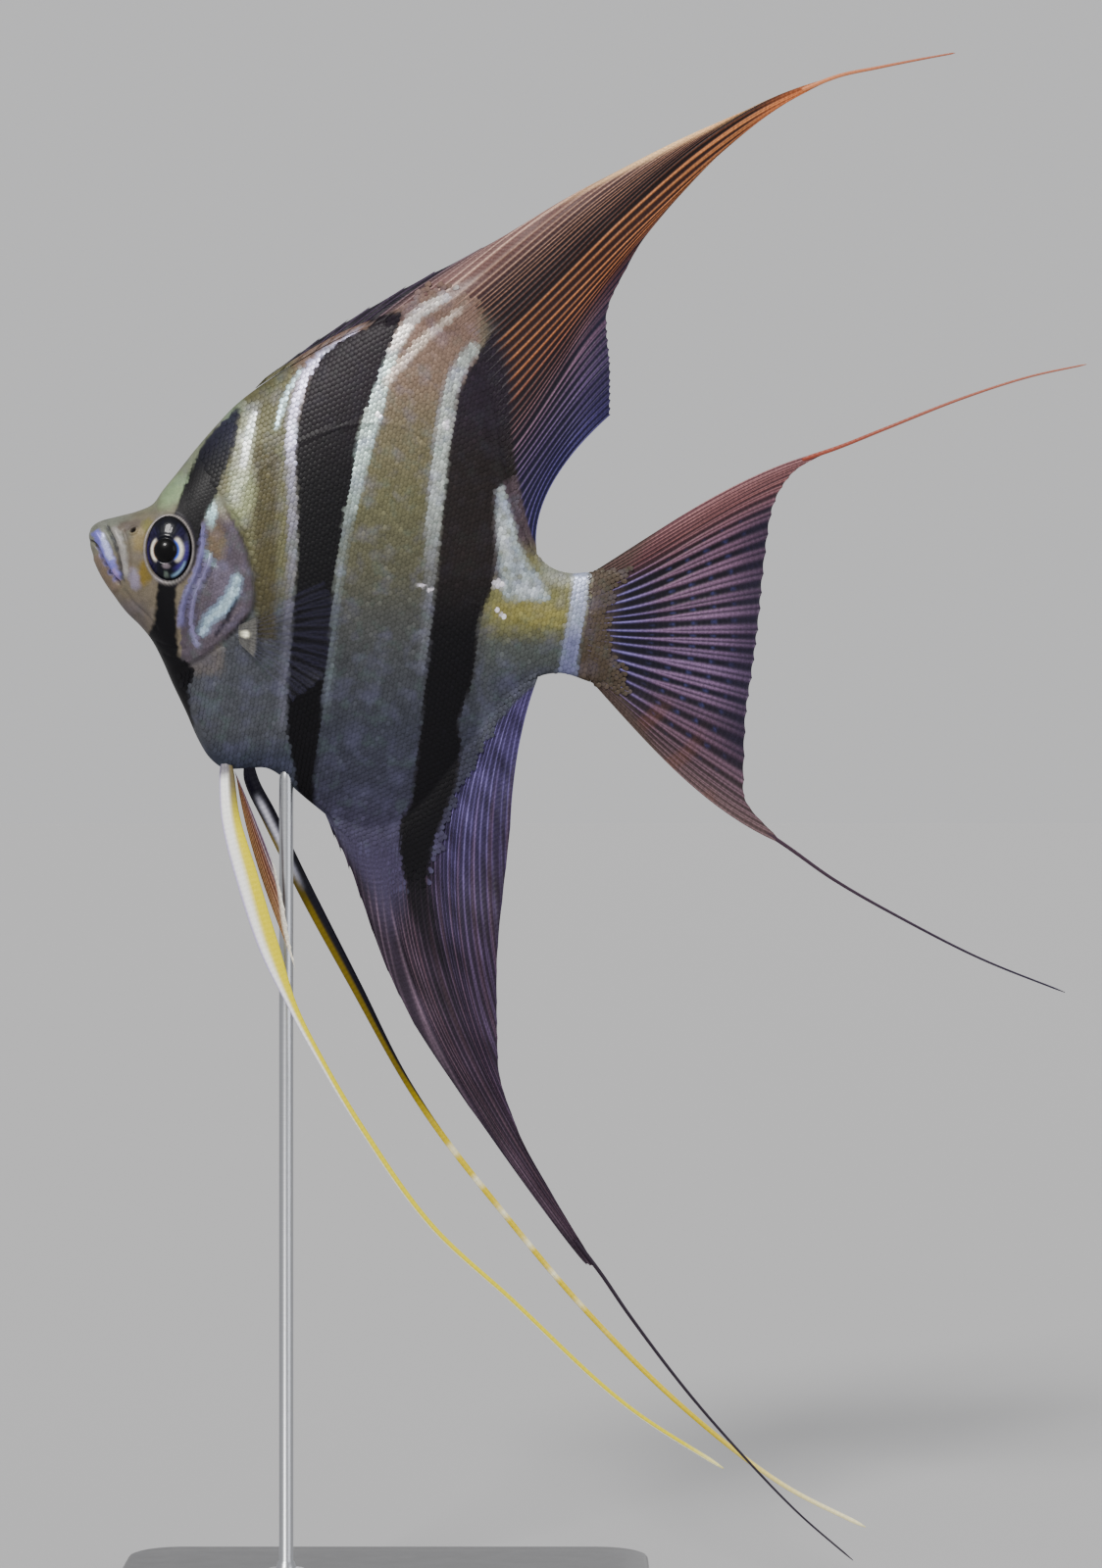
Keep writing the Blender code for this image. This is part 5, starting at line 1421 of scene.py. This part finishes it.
def dorsal_colours(fin):
    """Dark spines, pale copper rays, the orange bundle, and lilac rays at the rear."""
    n = fin.number + 0 * fin.t
    rgb = blend(shades(n, DORSAL_WEB), shades(n, DORSAL_RAY), fin.streak(0.98))
    near = soft(fin.t, 0.55, 0.15) * soft(n, 4.6, 5.4) * soft(n, 10.0, 9.0)
    rgb = tint(rgb, (26, 18, 26), 0.35 * near)
    # The pale leading edge: partly the fin's cream edge, partly a painted highlight along it.
    pale_edge_and_highlight = soft(fin.t, 0.68, 0.84) * soft(n, 4.0, 5.0) * soft(n, 7.1, 6.9)
    rgb = tint(rgb, (250, 206, 152), 0.95 * pale_edge_and_highlight)
    warm = soft(fin.t, 0.8, 0.98) * soft(n, 6.2, 7.0) * soft(n, 8.3, 7.8)
    rgb = tint(rgb, (206, 112, 64), 0.6 * warm)
    dusk = soft(fin.t, 0.5, 1.0) * soft(n, 8.5, 9.2)
    rgb = tint(rgb, (24, 20, 46), 0.6 * dusk)
    silver = Paint(fin.x.ravel(), fin.z.ravel(), 0.3)
    front = silver.stroke(MIDDLE_LINE_FRONT, (1.8, 1.6, 1.2, 0.3), 1.2, 0.3)
    rear = silver.stroke(MIDDLE_LINE_REAR, (1.0, 0.9, 0.3), 0.8, 0.3)
    lines = 0.75 * np.maximum(front, rear).reshape(n.shape) * (0.4 + 0.6 * fin.streak(1.0))
    reach = np.interp(n, (2.5, 4.0, 8.0, 9.5, 12), (0.8, 8.0, 9.0, 4.0, 1.5))
    rgb, shine = root_paint(fin, rgb, 0.1 + 0.2 * fin.crest, 0.4 * reach, reach)
    return tint(rgb, (222, 208, 202), lines), shine + 0.6 * lines


def build_dorsal():
    """The dorsal fin: short spines, a bundle of long rays to the filament, a soft rear."""
    guides, root = on_contour(DORSAL_RAYS, back_line, 1)
    notch = monotone([(0, 2.4), (3, 2.8), (4.4, 2.0), (5.2, 0.5), (8, 0.4), (12, 0.5)])
    spiky = monotone([(0, 0.35), (4.4, 0.4), (5.4, 0.8), (12, 0.8)])
    fin = Fin(guides, root, DORSAL_SPREAD, 64, notch, split=0.55, spiky=spiky, ridge=0.12, part=0.16)
    rgb, shine = dorsal_colours(fin)
    half = fin.thickness(FIN_WEB, 0.24, flesh=DORSAL_FLESH[0], flesh_reach=DORSAL_FLESH[1])
    new_fin("dorsal_fin", fin, fin.middle(2.5, 0.7), half, rgb, shine,
            fin_material("dorsal_fin_skin").material,
            ["dorsal_fin_front", "dorsal_fin_middle", "dorsal_fin_rear"])


def anal_colours(fin):
    """Grey at the front like the belly, lilac rays behind, and dusky towards the tips."""
    n = fin.number + 0 * fin.t
    lilac = soft(fin.out, 54.0, 12.0) * soft(n, 5.8, 7.4)
    ray = tint(shades(n, ANAL_RAY), (122, 112, 172), 0.85 * lilac)
    web = tint(shades(n, ANAL_WEB), (54, 46, 82), 0.8 * lilac)
    rgb = blend(web, ray, fin.streak(0.95))
    # Painted light and shade of folds in the membrane: bands made lighter and darker.
    folds = 0.5 + 0.5 * ripple(fin.x + 0.5 * fin.z, 0.3 * fin.z, 7.0, 0.7)
    rgb = rgb * (0.65 + 0.7 * folds)[..., None]
    pink = soft(np.sin(9.0 * n + 0.03 * fin.out), 0.55, 0.9) * soft(n, 3.6, 4.6)
    pink = pink * soft(fin.out, 14, 34)
    rgb = tint(rgb, (112, 80, 92), 0.35 * pink * (0.4 + 0.6 * fin.crest))
    dusk = soft(fin.t, 0.35, 0.95)
    rgb = tint(rgb, (40, 29, 40), 0.6 * dusk * (1 - 0.4 * fin.crest))
    reach = np.interp(n, (0, 1.5, 3, 4.5, 7, 10), (1.5, 12, 26, 26, 8, 2))
    rgb, shine = root_paint(fin, rgb, 0.1 + 0.15 * fin.crest, 0.3 * reach, reach)
    streak = Paint(fin.x.ravel(), fin.z.ravel(), 0.3).upright(*REAR_BAR, 0.9).reshape(n.shape)
    rgb = tint(rgb, (6, 4, 9), 0.95 * streak * soft(fin.z, -112.0, -76.0))
    edge = soft(fin.t, 0.84, 0.97) * soft(n, 5.0, 3.6)
    return tint(rgb, (24, 18, 30), 0.7 * edge), shine


def build_anal():
    """The anal fin: short spines, then long soft rays down to its filament."""
    guides, root = on_contour(ANAL_RAYS, belly_line, -1)
    notch = monotone([(0, 2.0), (3, 2.6), (3.9, 0.6), (5, 0.4), (10, 0.5)])
    spiky = monotone([(0, 0.4), (3.6, 0.4), (4.2, 0.8), (10, 0.8)])
    fin = Fin(guides, root, ANAL_SPREAD, 72, notch, split=0.6, spiky=spiky, ridge=0.13, part=0.15,
              dim=0.3)
    rgb, shine = anal_colours(fin)
    half = fin.thickness(FIN_WEB, 0.25, flesh=ANAL_FLESH[0], flesh_reach=ANAL_FLESH[1])
    new_fin("anal_fin", fin, fin.middle(-2.0, 0.8, 2.0), half, rgb, shine,
            fin_material("anal_fin_skin").material,
            ["anal_fin_front", "anal_fin_middle", "anal_fin_rear"])


def tail_colours(fin):
    """Lilac-pink rays on near black, with rust and brown edges and a brown base."""
    n = fin.number + 0 * fin.t
    t = np.clip(fin.t, 0, 1)
    near_root = soft(t, 0.45, 0.14) * soft(n, 1.2, 2.4) * soft(n, 7.4, 6.2)
    ray = tint(shades(n, TAIL_RAY), (126, 120, 192), 0.75 * near_root)
    rgb = blend(shades(n, TAIL_WEB), ray, fin.streak(0.95))
    rows = 0.5 + 0.5 * np.sin(fin.out * 1.35 + 0.5 * n)
    spots = soft(rows, 0.8, 1.0) * soft(fin.off_ray, 0.3, 0.5) * soft(t, 0.3, 0.45) * soft(t, 0.95, 0.8)
    rgb = tint(rgb, (60, 62, 116), 0.5 * spots * soft(n, 1.6, 2.4) * soft(n, 7.2, 6.4))
    rust = soft(np.sin(fin.out * 0.55 + 1.6 * n), 0.3, 0.9) * soft(n, 5.8, 6.8) * soft(t, 0.2, 0.35)
    rgb = tint(rgb, (112, 70, 50), 0.22 * rust * soft(t, 0.8, 0.6))
    dusk = soft(t, 0.7, 1.0) * soft(n, 1.4, 2.2) * soft(n, 7.0, 6.4)
    rgb = tint(rgb, (28, 22, 42), 0.7 * dusk)
    ends = np.interp(n, (0, 1.5, 4, 6.5, 8), (0.30, 0.18, 0.13, 0.2, 0.42))
    base = soft(t, ends + 0.06, ends - 0.1)
    between_rays = 1 - 0.35 * fin.crest * soft(t, 0.05, 0.15)
    return tint(rgb, (72, 60, 54), 0.85 * base * between_rays)


def build_tail():
    """The tail fin: branched rays that fan out from the end of the stalk."""
    notch = monotone([(0, 0.3), (2, 0.4), (6, 0.4), (8, 0.3)])
    fin = Fin(TAIL_RAYS, lambda z: (STALK_END + 0.2 + 0 * z, z), TAIL_SPREAD, 60, notch, split=0.3,
              steps=14, bury=3.0, ridge=0.13, part=0.16, uneven=0.12, dim=0.7)
    root_half = half_thickness(STALK_END, fin.z, -COAT_DEPTH)
    flesh = root_half * hump(fin.out, 0, TAIL_FLESH_REACH)
    half = fin.thickness(FIN_WEB, 0.30, flesh=0.12, flesh_reach=TAIL_FLESH_REACH) + 0.95 * flesh
    half = np.where(fin.t < 0, 0.7 * root_half, half)
    new_fin("tail_fin", fin, fin.middle(1.5, 0.6, 4.0), half, tail_colours(fin),
            0.1 + 0.25 * fin.crest, fin_material("tail_fin_skin").material,
            ["tail_fin_upper", "tail_fin_middle", "tail_fin_lower"])


def clear_fin_material(name):
    """A clear membrane with paler, more solid rays."""
    nodes = fin_material(name, 0.35)
    nodes.shade(Alpha=nodes.attribute("Solid"))
    return nodes.material


def build_pectoral(label, side):
    """One clear pectoral fan on its short fleshy base, which joins it to the body's side."""
    rays = np.linspace(0, 3, 12)
    fin = Fin(PECTORAL_RAYS, lambda z: (PECTORAL_ROOT_X + 0 * z, z), rays, 36,
              monotone([(0, 0.5), (3, 0.5)]), split=0.5, bury=1.6, ridge=0.2)
    t = np.clip(fin.t, 0, 1)
    rgb = blend(srgb(44, 44, 58), srgb(62, 60, 88), fin.crest)
    base = soft(fin.out, 3.1, 2.4)
    rgb = tint(rgb, (112, 110, 106), base)
    glint = soft(in_oval(fin.x, fin.z, *PECTORAL_GLINT), 1.3, 0.5)
    rgb = tint(rgb, (246, 244, 214), glint)
    stand_out = (PECTORAL_OUT[0] + PECTORAL_OUT[1] * t + 0.2 * ripple(fin.x, fin.z, 18.0) * t
                 - 0.9 * (fin.t < 0))
    half = fin.thickness(0.08, 0.05, flesh=0.4, flesh_reach=1.1)
    outer, inner = stand_out + half, stand_out - half
    on_body = half_thickness(fin.x, fin.z) - 0.2
    inner += soft(fin.out, 2.3, 0.9) * (np.minimum(inner, on_body) - inner)
    middle, half = side * (outer + inner) / 2, (outer - inner) / 2
    piece = new_fin(f"pectoral_fin_{label}", fin, middle, half, rgb, 0.1 + 0 * fin.x,
                    clear_fin_material(f"pectoral_skin_{label}"), [f"pectoral_{label}"])
    solid = np.clip(0.02 + 0.16 * fin.crest * (1 - 0.4 * t) + 0.34 * base + 0.6 * glint, 0, 1)
    put_values(piece, "Solid", np.tile(solid.ravel(), 2))


def build_pelvic_web():
    """The short soft rays behind the left pelvic spine, brown with white tips."""
    rays = np.linspace(0, 3, 8)
    fin = Fin(LEFT_WEB_RAYS, lambda z: (WEB_ROOT_X + 0 * z, z), rays, 48,
              monotone([(0, 0.9), (3, 1.2)]), split=0.6, bury=2.0)
    t = np.clip(fin.t, 0, 1)
    n = fin.number + 0 * t
    rgb = blend(shades(n, PELVIC_WEB), shades(n, PELVIC_RAY), 0.85 * fin.crest)
    rgb = tint(rgb, (240, 236, 226), 0.9 * soft(t, 0.82, 0.93))
    middle = -1.6 - 4.8 * t + 0.3 * ripple(fin.x, fin.z, 14.0)
    new_fin("pelvic_rays_left", fin, middle, fin.thickness(0.1, 0.18), rgb, 0.1 + 0 * t,
            fin_material("pelvic_rays_skin").material, ["pelvic_left_rays"])


# ---------- pelvic fins and filaments

# The middle lines of the filaments, and of the pelvic fins with their threads, as (x, y, z).
DORSAL_FILAMENT = [(160, 2.3, 99.6), (168.6, 2.5, 102.9), (177, 2.8, 104.7), (186, 2.9, 106.5),
                   (194.5, 2.6, 108)]
ANAL_FILAMENT = [(109, -2, -158.6), (114.8, -2, -166.2), (120.8, -2, -175),
                 (134, -1.6, -192.5), (146.1, -1, -206.5), (159, -0.4, -220),
                 (171.4, 0.2, -230.8)]
TAIL_FILAMENT_UPPER = [(160, 1.4, 16.4), (168, 1.5, 19.1), (178, 1.8, 23.1), (196, 1.6, 30.2),
                       (211, 1.2, 35), (223.9, 1, 37.8)]
TAIL_FILAMENT_LOWER = [(149, 1.4, -65.4), (156.7, 1.5, -70.6), (167, 1.2, -77.9),
                       (184, 0.4, -87.6), (200, -0.6, -95.7), (218.7, -1.8, -103.2)]

# Each filament: its piece and CAD node, its line, its colour at the root and at the tip.
FILAMENTS = [
    ("dorsal_thread", "dorsal_filament", DORSAL_FILAMENT, (208, 132, 88), (170, 104, 84)),
    ("anal_thread", "anal_filament", ANAL_FILAMENT, (40, 30, 42), (46, 40, 52)),
    ("tail_thread_upper", "tail_filament_upper", TAIL_FILAMENT_UPPER, (150, 72, 56), (170, 108, 90)),
    ("tail_thread_lower", "tail_filament_lower", TAIL_FILAMENT_LOWER, (64, 46, 58), (40, 36, 54)),
]
FILAMENT_RADIUS = (0.5, 0.2)  # at its root and at its tip

PELVIC_LEFT = [(31, -1.5, -54.6), (32.1, -4.6, -64.2), (36, -7.6, -77.6), (40.5, -9.4, -91.5),
               (46.8, -10.8, -107), (53.2, -11.8, -118.8), (60.8, -12.4, -131.4),
               (77, -12.8, -154.2), (94.6, -12.6, -170.6), (120.6, -11.6, -194.6),
               (141.9, -10, -208.6)]
PELVIC_RIGHT = [(36.2, 1.2, -55.2), (40, 4, -63.5), (48.2, 7, -80.7), (59.6, 9, -102.6),
                (70.2, 10.4, -122.8), (78.2, 11.2, -135.2), (91.4, 11.8, -152.2),
                (111.6, 12, -176.2), (133.8, 11.4, -198.2), (156.2, 10.2, -215.4),
                (174.8, 9, -224.8)]
BLADE_SINK = (-0.4, 0.0, 4.8)  # from a blade's root to its end inside the belly
BLADE_END = 4  # the point where the blade has become the thread
BLADE_HALF_WIDTH = {  # at the blade's points
    "left": (1.7, 2.1, 2.5, 2.3, 1.0),
    "right": (1.6, 1.8, 1.7, 1.3, 0.8),
}
THREAD_RADIUS = (0.72, 0.48)  # where the thread begins, and at its tip
STRIP_STEPS = 14  # rings from one point of the line to the next
STRIP_SIDES = 28  # points on each ring
STRIP_RIBS = 7
RIB_SHARE = 0.14  # how much the ribs add to the depth


def strip_points(line, half_widths, half_depths):
    """A closed strip along a line: its points, and their place across it from -1 to 1."""
    ahead = np.gradient(line, axis=0)
    ahead /= np.linalg.norm(ahead, axis=1, keepdims=True)
    wide = np.cross(ahead, [0.0, 1.0, 0.0])
    wide /= np.linalg.norm(wide, axis=1, keepdims=True)
    thick = np.cross(ahead, wide)
    angle = 2 * np.pi * np.arange(STRIP_SIDES) / STRIP_SIDES
    across = np.cos(angle)[None, :, None]
    ribs = 1 + RIB_SHARE * np.cos(STRIP_RIBS * np.pi * across)
    points = (line[:, None, :] + across * wide[:, None, :] * half_widths[:, None, None]
              + ribs * np.sin(angle)[None, :, None] * thick[:, None, :] * half_depths[:, None, None])
    return points, across[..., 0] + 0 * line[:, :1]


def new_strip(name, line, half_widths, half_depths, colour_of, replaced):
    """A strip or thread as a mesh; colour_of(place along, place across) gives its colours."""
    points, across = strip_points(line, half_widths, half_depths)
    run = np.concatenate(([0.0], np.cumsum(np.linalg.norm(np.diff(line, axis=0), axis=1))))
    along = run[:, None] + 0 * across
    piece = new_piece(name, points.reshape(-1, 3), ring_faces(*across.shape))
    rgb = colour_of(along / run[-1], across)
    put_pigment(piece, rgb.reshape(-1, 3), 0.1 + 0 * across)
    put_values(piece, "Along", along)
    piece.data.materials.append(fin_material(f"{name}_skin", 0.36, 0.08, 0.03).material)
    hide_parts(*replaced)


def build_filament(name, node, points, start, end):
    """A trailing filament that runs from one colour to another and tapers to its tip."""
    line = flow(points, STRIP_STEPS)
    share = np.linspace(0, 1, len(line))
    radius = np.interp(share, (0, 1), FILAMENT_RADIUS) * soft(share, 1.02, 0.97)
    new_strip(name, line, radius, radius * 0.85,
              lambda along, across: shades(along, [(0, *start), (1, *end)]), [node])


def pelvic_left_colour(along, across):
    """White in front, yellow behind, then a yellow thread with a white lower edge."""
    split = np.interp(along, [0.0, 0.1, 0.22, 0.34, 0.45, 1.0], [0.5, 0.12, -0.15, -0.1, -0.6, -0.5])
    share = soft(across, split - 0.35, split + 0.25)
    rgb = blend(srgb(254, 254, 250), srgb(222, 206, 6), share)
    fringe = soft(across, -0.7, -0.95) * soft(along, 0.4, 0.3)
    rgb = tint(rgb, (150, 128, 206), 0.7 * fringe)
    root = np.maximum(soft(along, 0.10, 0.03) * soft(across, 0.0, 0.4), soft(along, 0.035, 0.02))
    rgb = tint(rgb, (60, 50, 74), 0.85 * root)
    return tint(rgb, (254, 250, 200), 0.6 * soft(along, 0.94, 1.0))


def pelvic_right_colour(along, across):
    """Blue-black on its rear edge, olive-yellow in front, then a pale yellow thread."""
    split = np.interp(along, [0.0, 0.06, 0.12, 0.3, 0.42], [-1.4, -1.0, -0.2, 0.1, 0.9])
    share = soft(across, split - 0.2, split + 0.2) * soft(along, 0.44, 0.38)
    rgb = blend(srgb(104, 88, 12), srgb(214, 190, 30), soft(along, 0.34, 0.46))
    beads = soft(np.sin(along * 160), 0.2, 0.9) * soft(along, 0.4, 0.46) * soft(along, 0.7, 0.6)
    rgb = tint(rgb, (240, 234, 200), beads)
    rgb = tint(rgb, (12, 10, 22), share)
    stripe = hump(across, -0.15, 0.35) * soft(along, 0.15, 0.12) * soft(along, 0.035, 0.055)
    rgb = tint(rgb, (222, 222, 240), 0.85 * stripe)
    return tint(rgb, (250, 246, 214), 0.7 * soft(along, 0.8, 1.0))


def build_pelvic(label, points, colour_of):
    """One pelvic fin: its blade and its long thread, as one strip."""
    buried = np.array(points[0]) * [1, -0.3, 1] + BLADE_SINK
    line = flow([tuple(buried), *points], STRIP_STEPS)
    knot = np.arange(len(line)) / STRIP_STEPS - 1
    thread_from, last = BLADE_END + 1, len(points) - 1
    blade = monotone([(-1, 0.9), *enumerate(BLADE_HALF_WIDTH[label]), (thread_from, THREAD_RADIUS[0])])
    thread = np.interp(knot, (thread_from, last), THREAD_RADIUS)
    width = np.where(knot < thread_from, blade(np.minimum(knot, thread_from)), thread)
    width = width * soft(knot, last + 0.1, last - 0.15)
    depth = np.minimum(width, 0.62 + 0.25 * hump(knot, 0.3, 0.5))
    replaced = [f"pelvic_{label}"] + [f"pelvic_{label}_thread_{k}" for k in (1, 2, 3)]
    new_strip(f"pelvic_fin_{label}", line, width, depth, colour_of, replaced)


# ---------- the stand and the studio

BRUSH_SCALE = (60.0, 60.0, 9000.0)  # how close the steel's fine lines are, round it and along it
ROD_SIDES = 40
ROD_FOOT = [(4.6, 0), (4.6, 1), (4.2, 1.6), (2.3, 2), (1.9, 3.2)]  # (radius, height on the base)
ROD_TOP = [(1.45, 0.4), (1.2, 1.6), (0.9, 2.6), (0.2, 3.2)]  # (radius, height over the CAD's rod)
ROD_STRAIGHT = (3.6, 0.6)  # it begins this far over the base, and ends this far under the CAD's top
BASE_CORNER = 12.0  # the radius of its corners, seen from above
BASE_SIDES = 24  # points on each rounded corner
BASE_FOOT = [(1.2, 0), (0.3, 0), (0, 0.4)]  # (shrink, height over its underside)
BASE_RIM = [(0, -1.1), (0.15, -0.6), (0.5, -0.2), (1.1, 0), (8, 0)]  # and over its upper side
FLOOR_SIZE = 40.0  # in metres
FLOOR_SHADE = (0.42, 0.42, 0.425)
LIGHTS = [  # name, direction it comes from, strength, spread in degrees, colour
    ("key", (-0.55, -1.3, 1.05), 3, 14, (1, 0.98, 0.95)),
    ("fill", (1.2, -0.9, 0.3), 0.8, 40, (0.94, 0.96, 1)),
    ("rim", (0.5, 1.3, 1.1), 1.2, 30, (1, 1, 1)),
]
SKY_SHADE = (0.80, 0.80, 0.81)
SKY_STRENGTH = 0.8
CAMERA_PLACE = (-0.0084, -1.0, 0.1838)  # in metres, in the model's frame
CAMERA_LENS = 102.3  # in mm, as the sensor
CAMERA_SENSOR = 36.0


def base_material():
    """Satin black acrylic with a faint grain."""
    nodes = Nodes("black_acrylic")
    grain = nodes.span(nodes.noise(900, 4.0), 0.6, 1.4)
    tone = nodes.mix("MULTIPLY", 1.0, srgb(38, 38, 42), grain)
    rough = nodes.span(nodes.noise(140, 4.0), 0.26, 0.4)
    nodes.shade(Base_Color=tone, Roughness=rough, Coat_Weight=0.3, Coat_Roughness=0.2)
    nodes.bump(nodes.noise(5200), 0.12, 0.00004)
    return nodes.material


def rod_material():
    """Brushed steel with fine lines round the rod."""
    nodes = Nodes("brushed_steel")
    stretch = nodes.add("ShaderNodeMapping", Vector=nodes.place())
    stretch.inputs["Scale"].default_value = BRUSH_SCALE
    lines = nodes.noise(1.0, 3.0, stretch.outputs["Vector"])
    tone = nodes.mix("MULTIPLY", 1.0, srgb(176, 178, 182), nodes.span(lines, 0.8, 1.2))
    nodes.shade(Base_Color=tone, Roughness=nodes.span(lines, 0.22, 0.42), Metallic=1.0)
    nodes.bump(lines, 0.2, 0.00003)
    return nodes.material


def lathe(profile, x, sides):
    """Rings round an upright axis at x, from (radius, z) points, as points of the fish's frame."""
    angle = 2 * np.pi * np.arange(sides) / sides
    radius, z = np.array(profile).T
    rings = np.stack((x + radius[:, None] * np.cos(angle), radius[:, None] * np.sin(angle),
                      z[:, None] + 0 * angle), -1)
    return rings


def build_rod():
    """A round steel rod with a foot ring, whose upper end narrows inside the belly."""
    low, high = from_model(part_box("stand_rod"))
    foot = from_model(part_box("stand_base"))[1][2]
    radius, top = (high[0] - low[0]) / 2, high[2]
    profile = [(r, foot + up) for r, up in ROD_FOOT]
    profile += [(radius, foot + ROD_STRAIGHT[0]), (radius, top - ROD_STRAIGHT[1])]
    profile += [(r, top + up) for r, up in ROD_TOP]
    rings = lathe(profile, (low[0] + high[0]) / 2, ROD_SIDES)
    rod = new_piece("stand_pin", rings.reshape(-1, 3), ring_faces(len(rings), ROD_SIDES))
    rod.data.set_sharp_from_angle(angle=math.radians(40))
    rod.data.materials.append(rod_material())
    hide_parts("stand_rod")


def build_base():
    """The base plate, with rounded corners and a rounded upper edge."""
    low, high = from_model(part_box("stand_base"))
    turn = 2 * np.pi * (np.arange(4 * BASE_SIDES) + 0.5) / (4 * BASE_SIDES)
    middle = (low + high) / 2
    half = (high - low) / 2 - BASE_CORNER
    profile = [(shrink, low[2] + up) for shrink, up in BASE_FOOT]
    profile += [(shrink, high[2] + up) for shrink, up in BASE_RIM]
    rings = []
    for shrink, z in profile:
        reach = BASE_CORNER - shrink
        x = middle[0] + np.sign(np.cos(turn)) * half[0] + reach * np.cos(turn)
        y = np.sign(np.sin(turn)) * half[1] + reach * np.sin(turn)
        rings.append(np.stack((x, y, z + 0 * x), -1))
    rings = np.array(rings)
    base = new_piece("stand_plinth", rings.reshape(-1, 3), ring_faces(*rings.shape[:2]))
    base.data.set_sharp_from_angle(angle=math.radians(50))
    base.data.materials.append(base_material())
    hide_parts("stand_base")


def build_floor():
    """A wide pale floor that the sky's light makes as bright as the sky itself."""
    nodes = Nodes("pale_floor")
    tone = nodes.mix("MULTIPLY", 1.0, FLOOR_SHADE, nodes.span(nodes.noise(3.0), 0.99, 1.0))
    nodes.shade(Base_Color=tone, Roughness=0.9, Specular_IOR_Level=0.1)
    bpy.ops.mesh.primitive_plane_add(size=FLOOR_SIZE, location=(0, 0, 0))
    floor = bpy.context.object
    floor.name = "floor"
    floor.data.materials.append(nodes.material)


def add_light(name, place, strength, spread_deg, colour):
    """A soft even light from the side of a point above the floor."""
    data = bpy.data.lights.new(name, "SUN")
    data.energy = strength
    data.angle = math.radians(spread_deg)
    data.color = colour
    light = bpy.data.objects.new(name, data)
    light.rotation_euler = Vector(place).to_track_quat("Z", "Y").to_euler()
    bpy.context.scene.collection.objects.link(light)


def build_studio():
    """Soft key light from the front and above, fill, rim, and pale surroundings."""
    for light in LIGHTS:
        add_light(*light)
    world = bpy.data.worlds.new("studio")
    world.use_nodes = True
    sky = world.node_tree.nodes["Background"].inputs
    sky["Color"].default_value = (*SKY_SHADE, 1.0)
    sky["Strength"].default_value = SKY_STRENGTH
    bpy.context.scene.world = world


def build_camera():
    """The photo's view: level, square to the fish's left side, about a metre away."""
    data = bpy.data.cameras.new("camera")
    data.lens = CAMERA_LENS
    data.sensor_width = CAMERA_SENSOR
    camera = bpy.data.objects.new("camera", data)
    camera.location = CAMERA_PLACE
    camera.rotation_euler = (math.radians(90), 0, 0)
    bpy.context.scene.collection.objects.link(camera)
    bpy.context.scene.camera = camera


SCALE_SEEDS = (("left", -1, 11), ("right", 1, 12))  # the side's label, its sign, its random seed


def main():
    """Builds everything that shows."""
    build_camera()
    build_studio()
    build_floor()
    build_base()
    build_rod()
    build_skin()
    parts = list(zip(SCALE_PARTS, np.array_split(scale_roots(), len(SCALE_PARTS))))
    for label, side, seed in SCALE_SEEDS:
        for part, roots in parts:
            build_scales(f"{label}_{part}", side, roots, seed + len(part))
        build_eye(label, side)
        build_pectoral(label, side)
    build_dorsal()
    build_anal()
    build_tail()
    build_pelvic_web()
    build_pelvic("left", PELVIC_LEFT, pelvic_left_colour)
    build_pelvic("right", PELVIC_RIGHT, pelvic_right_colour)
    for filament in FILAMENTS:
        build_filament(*filament)


main()
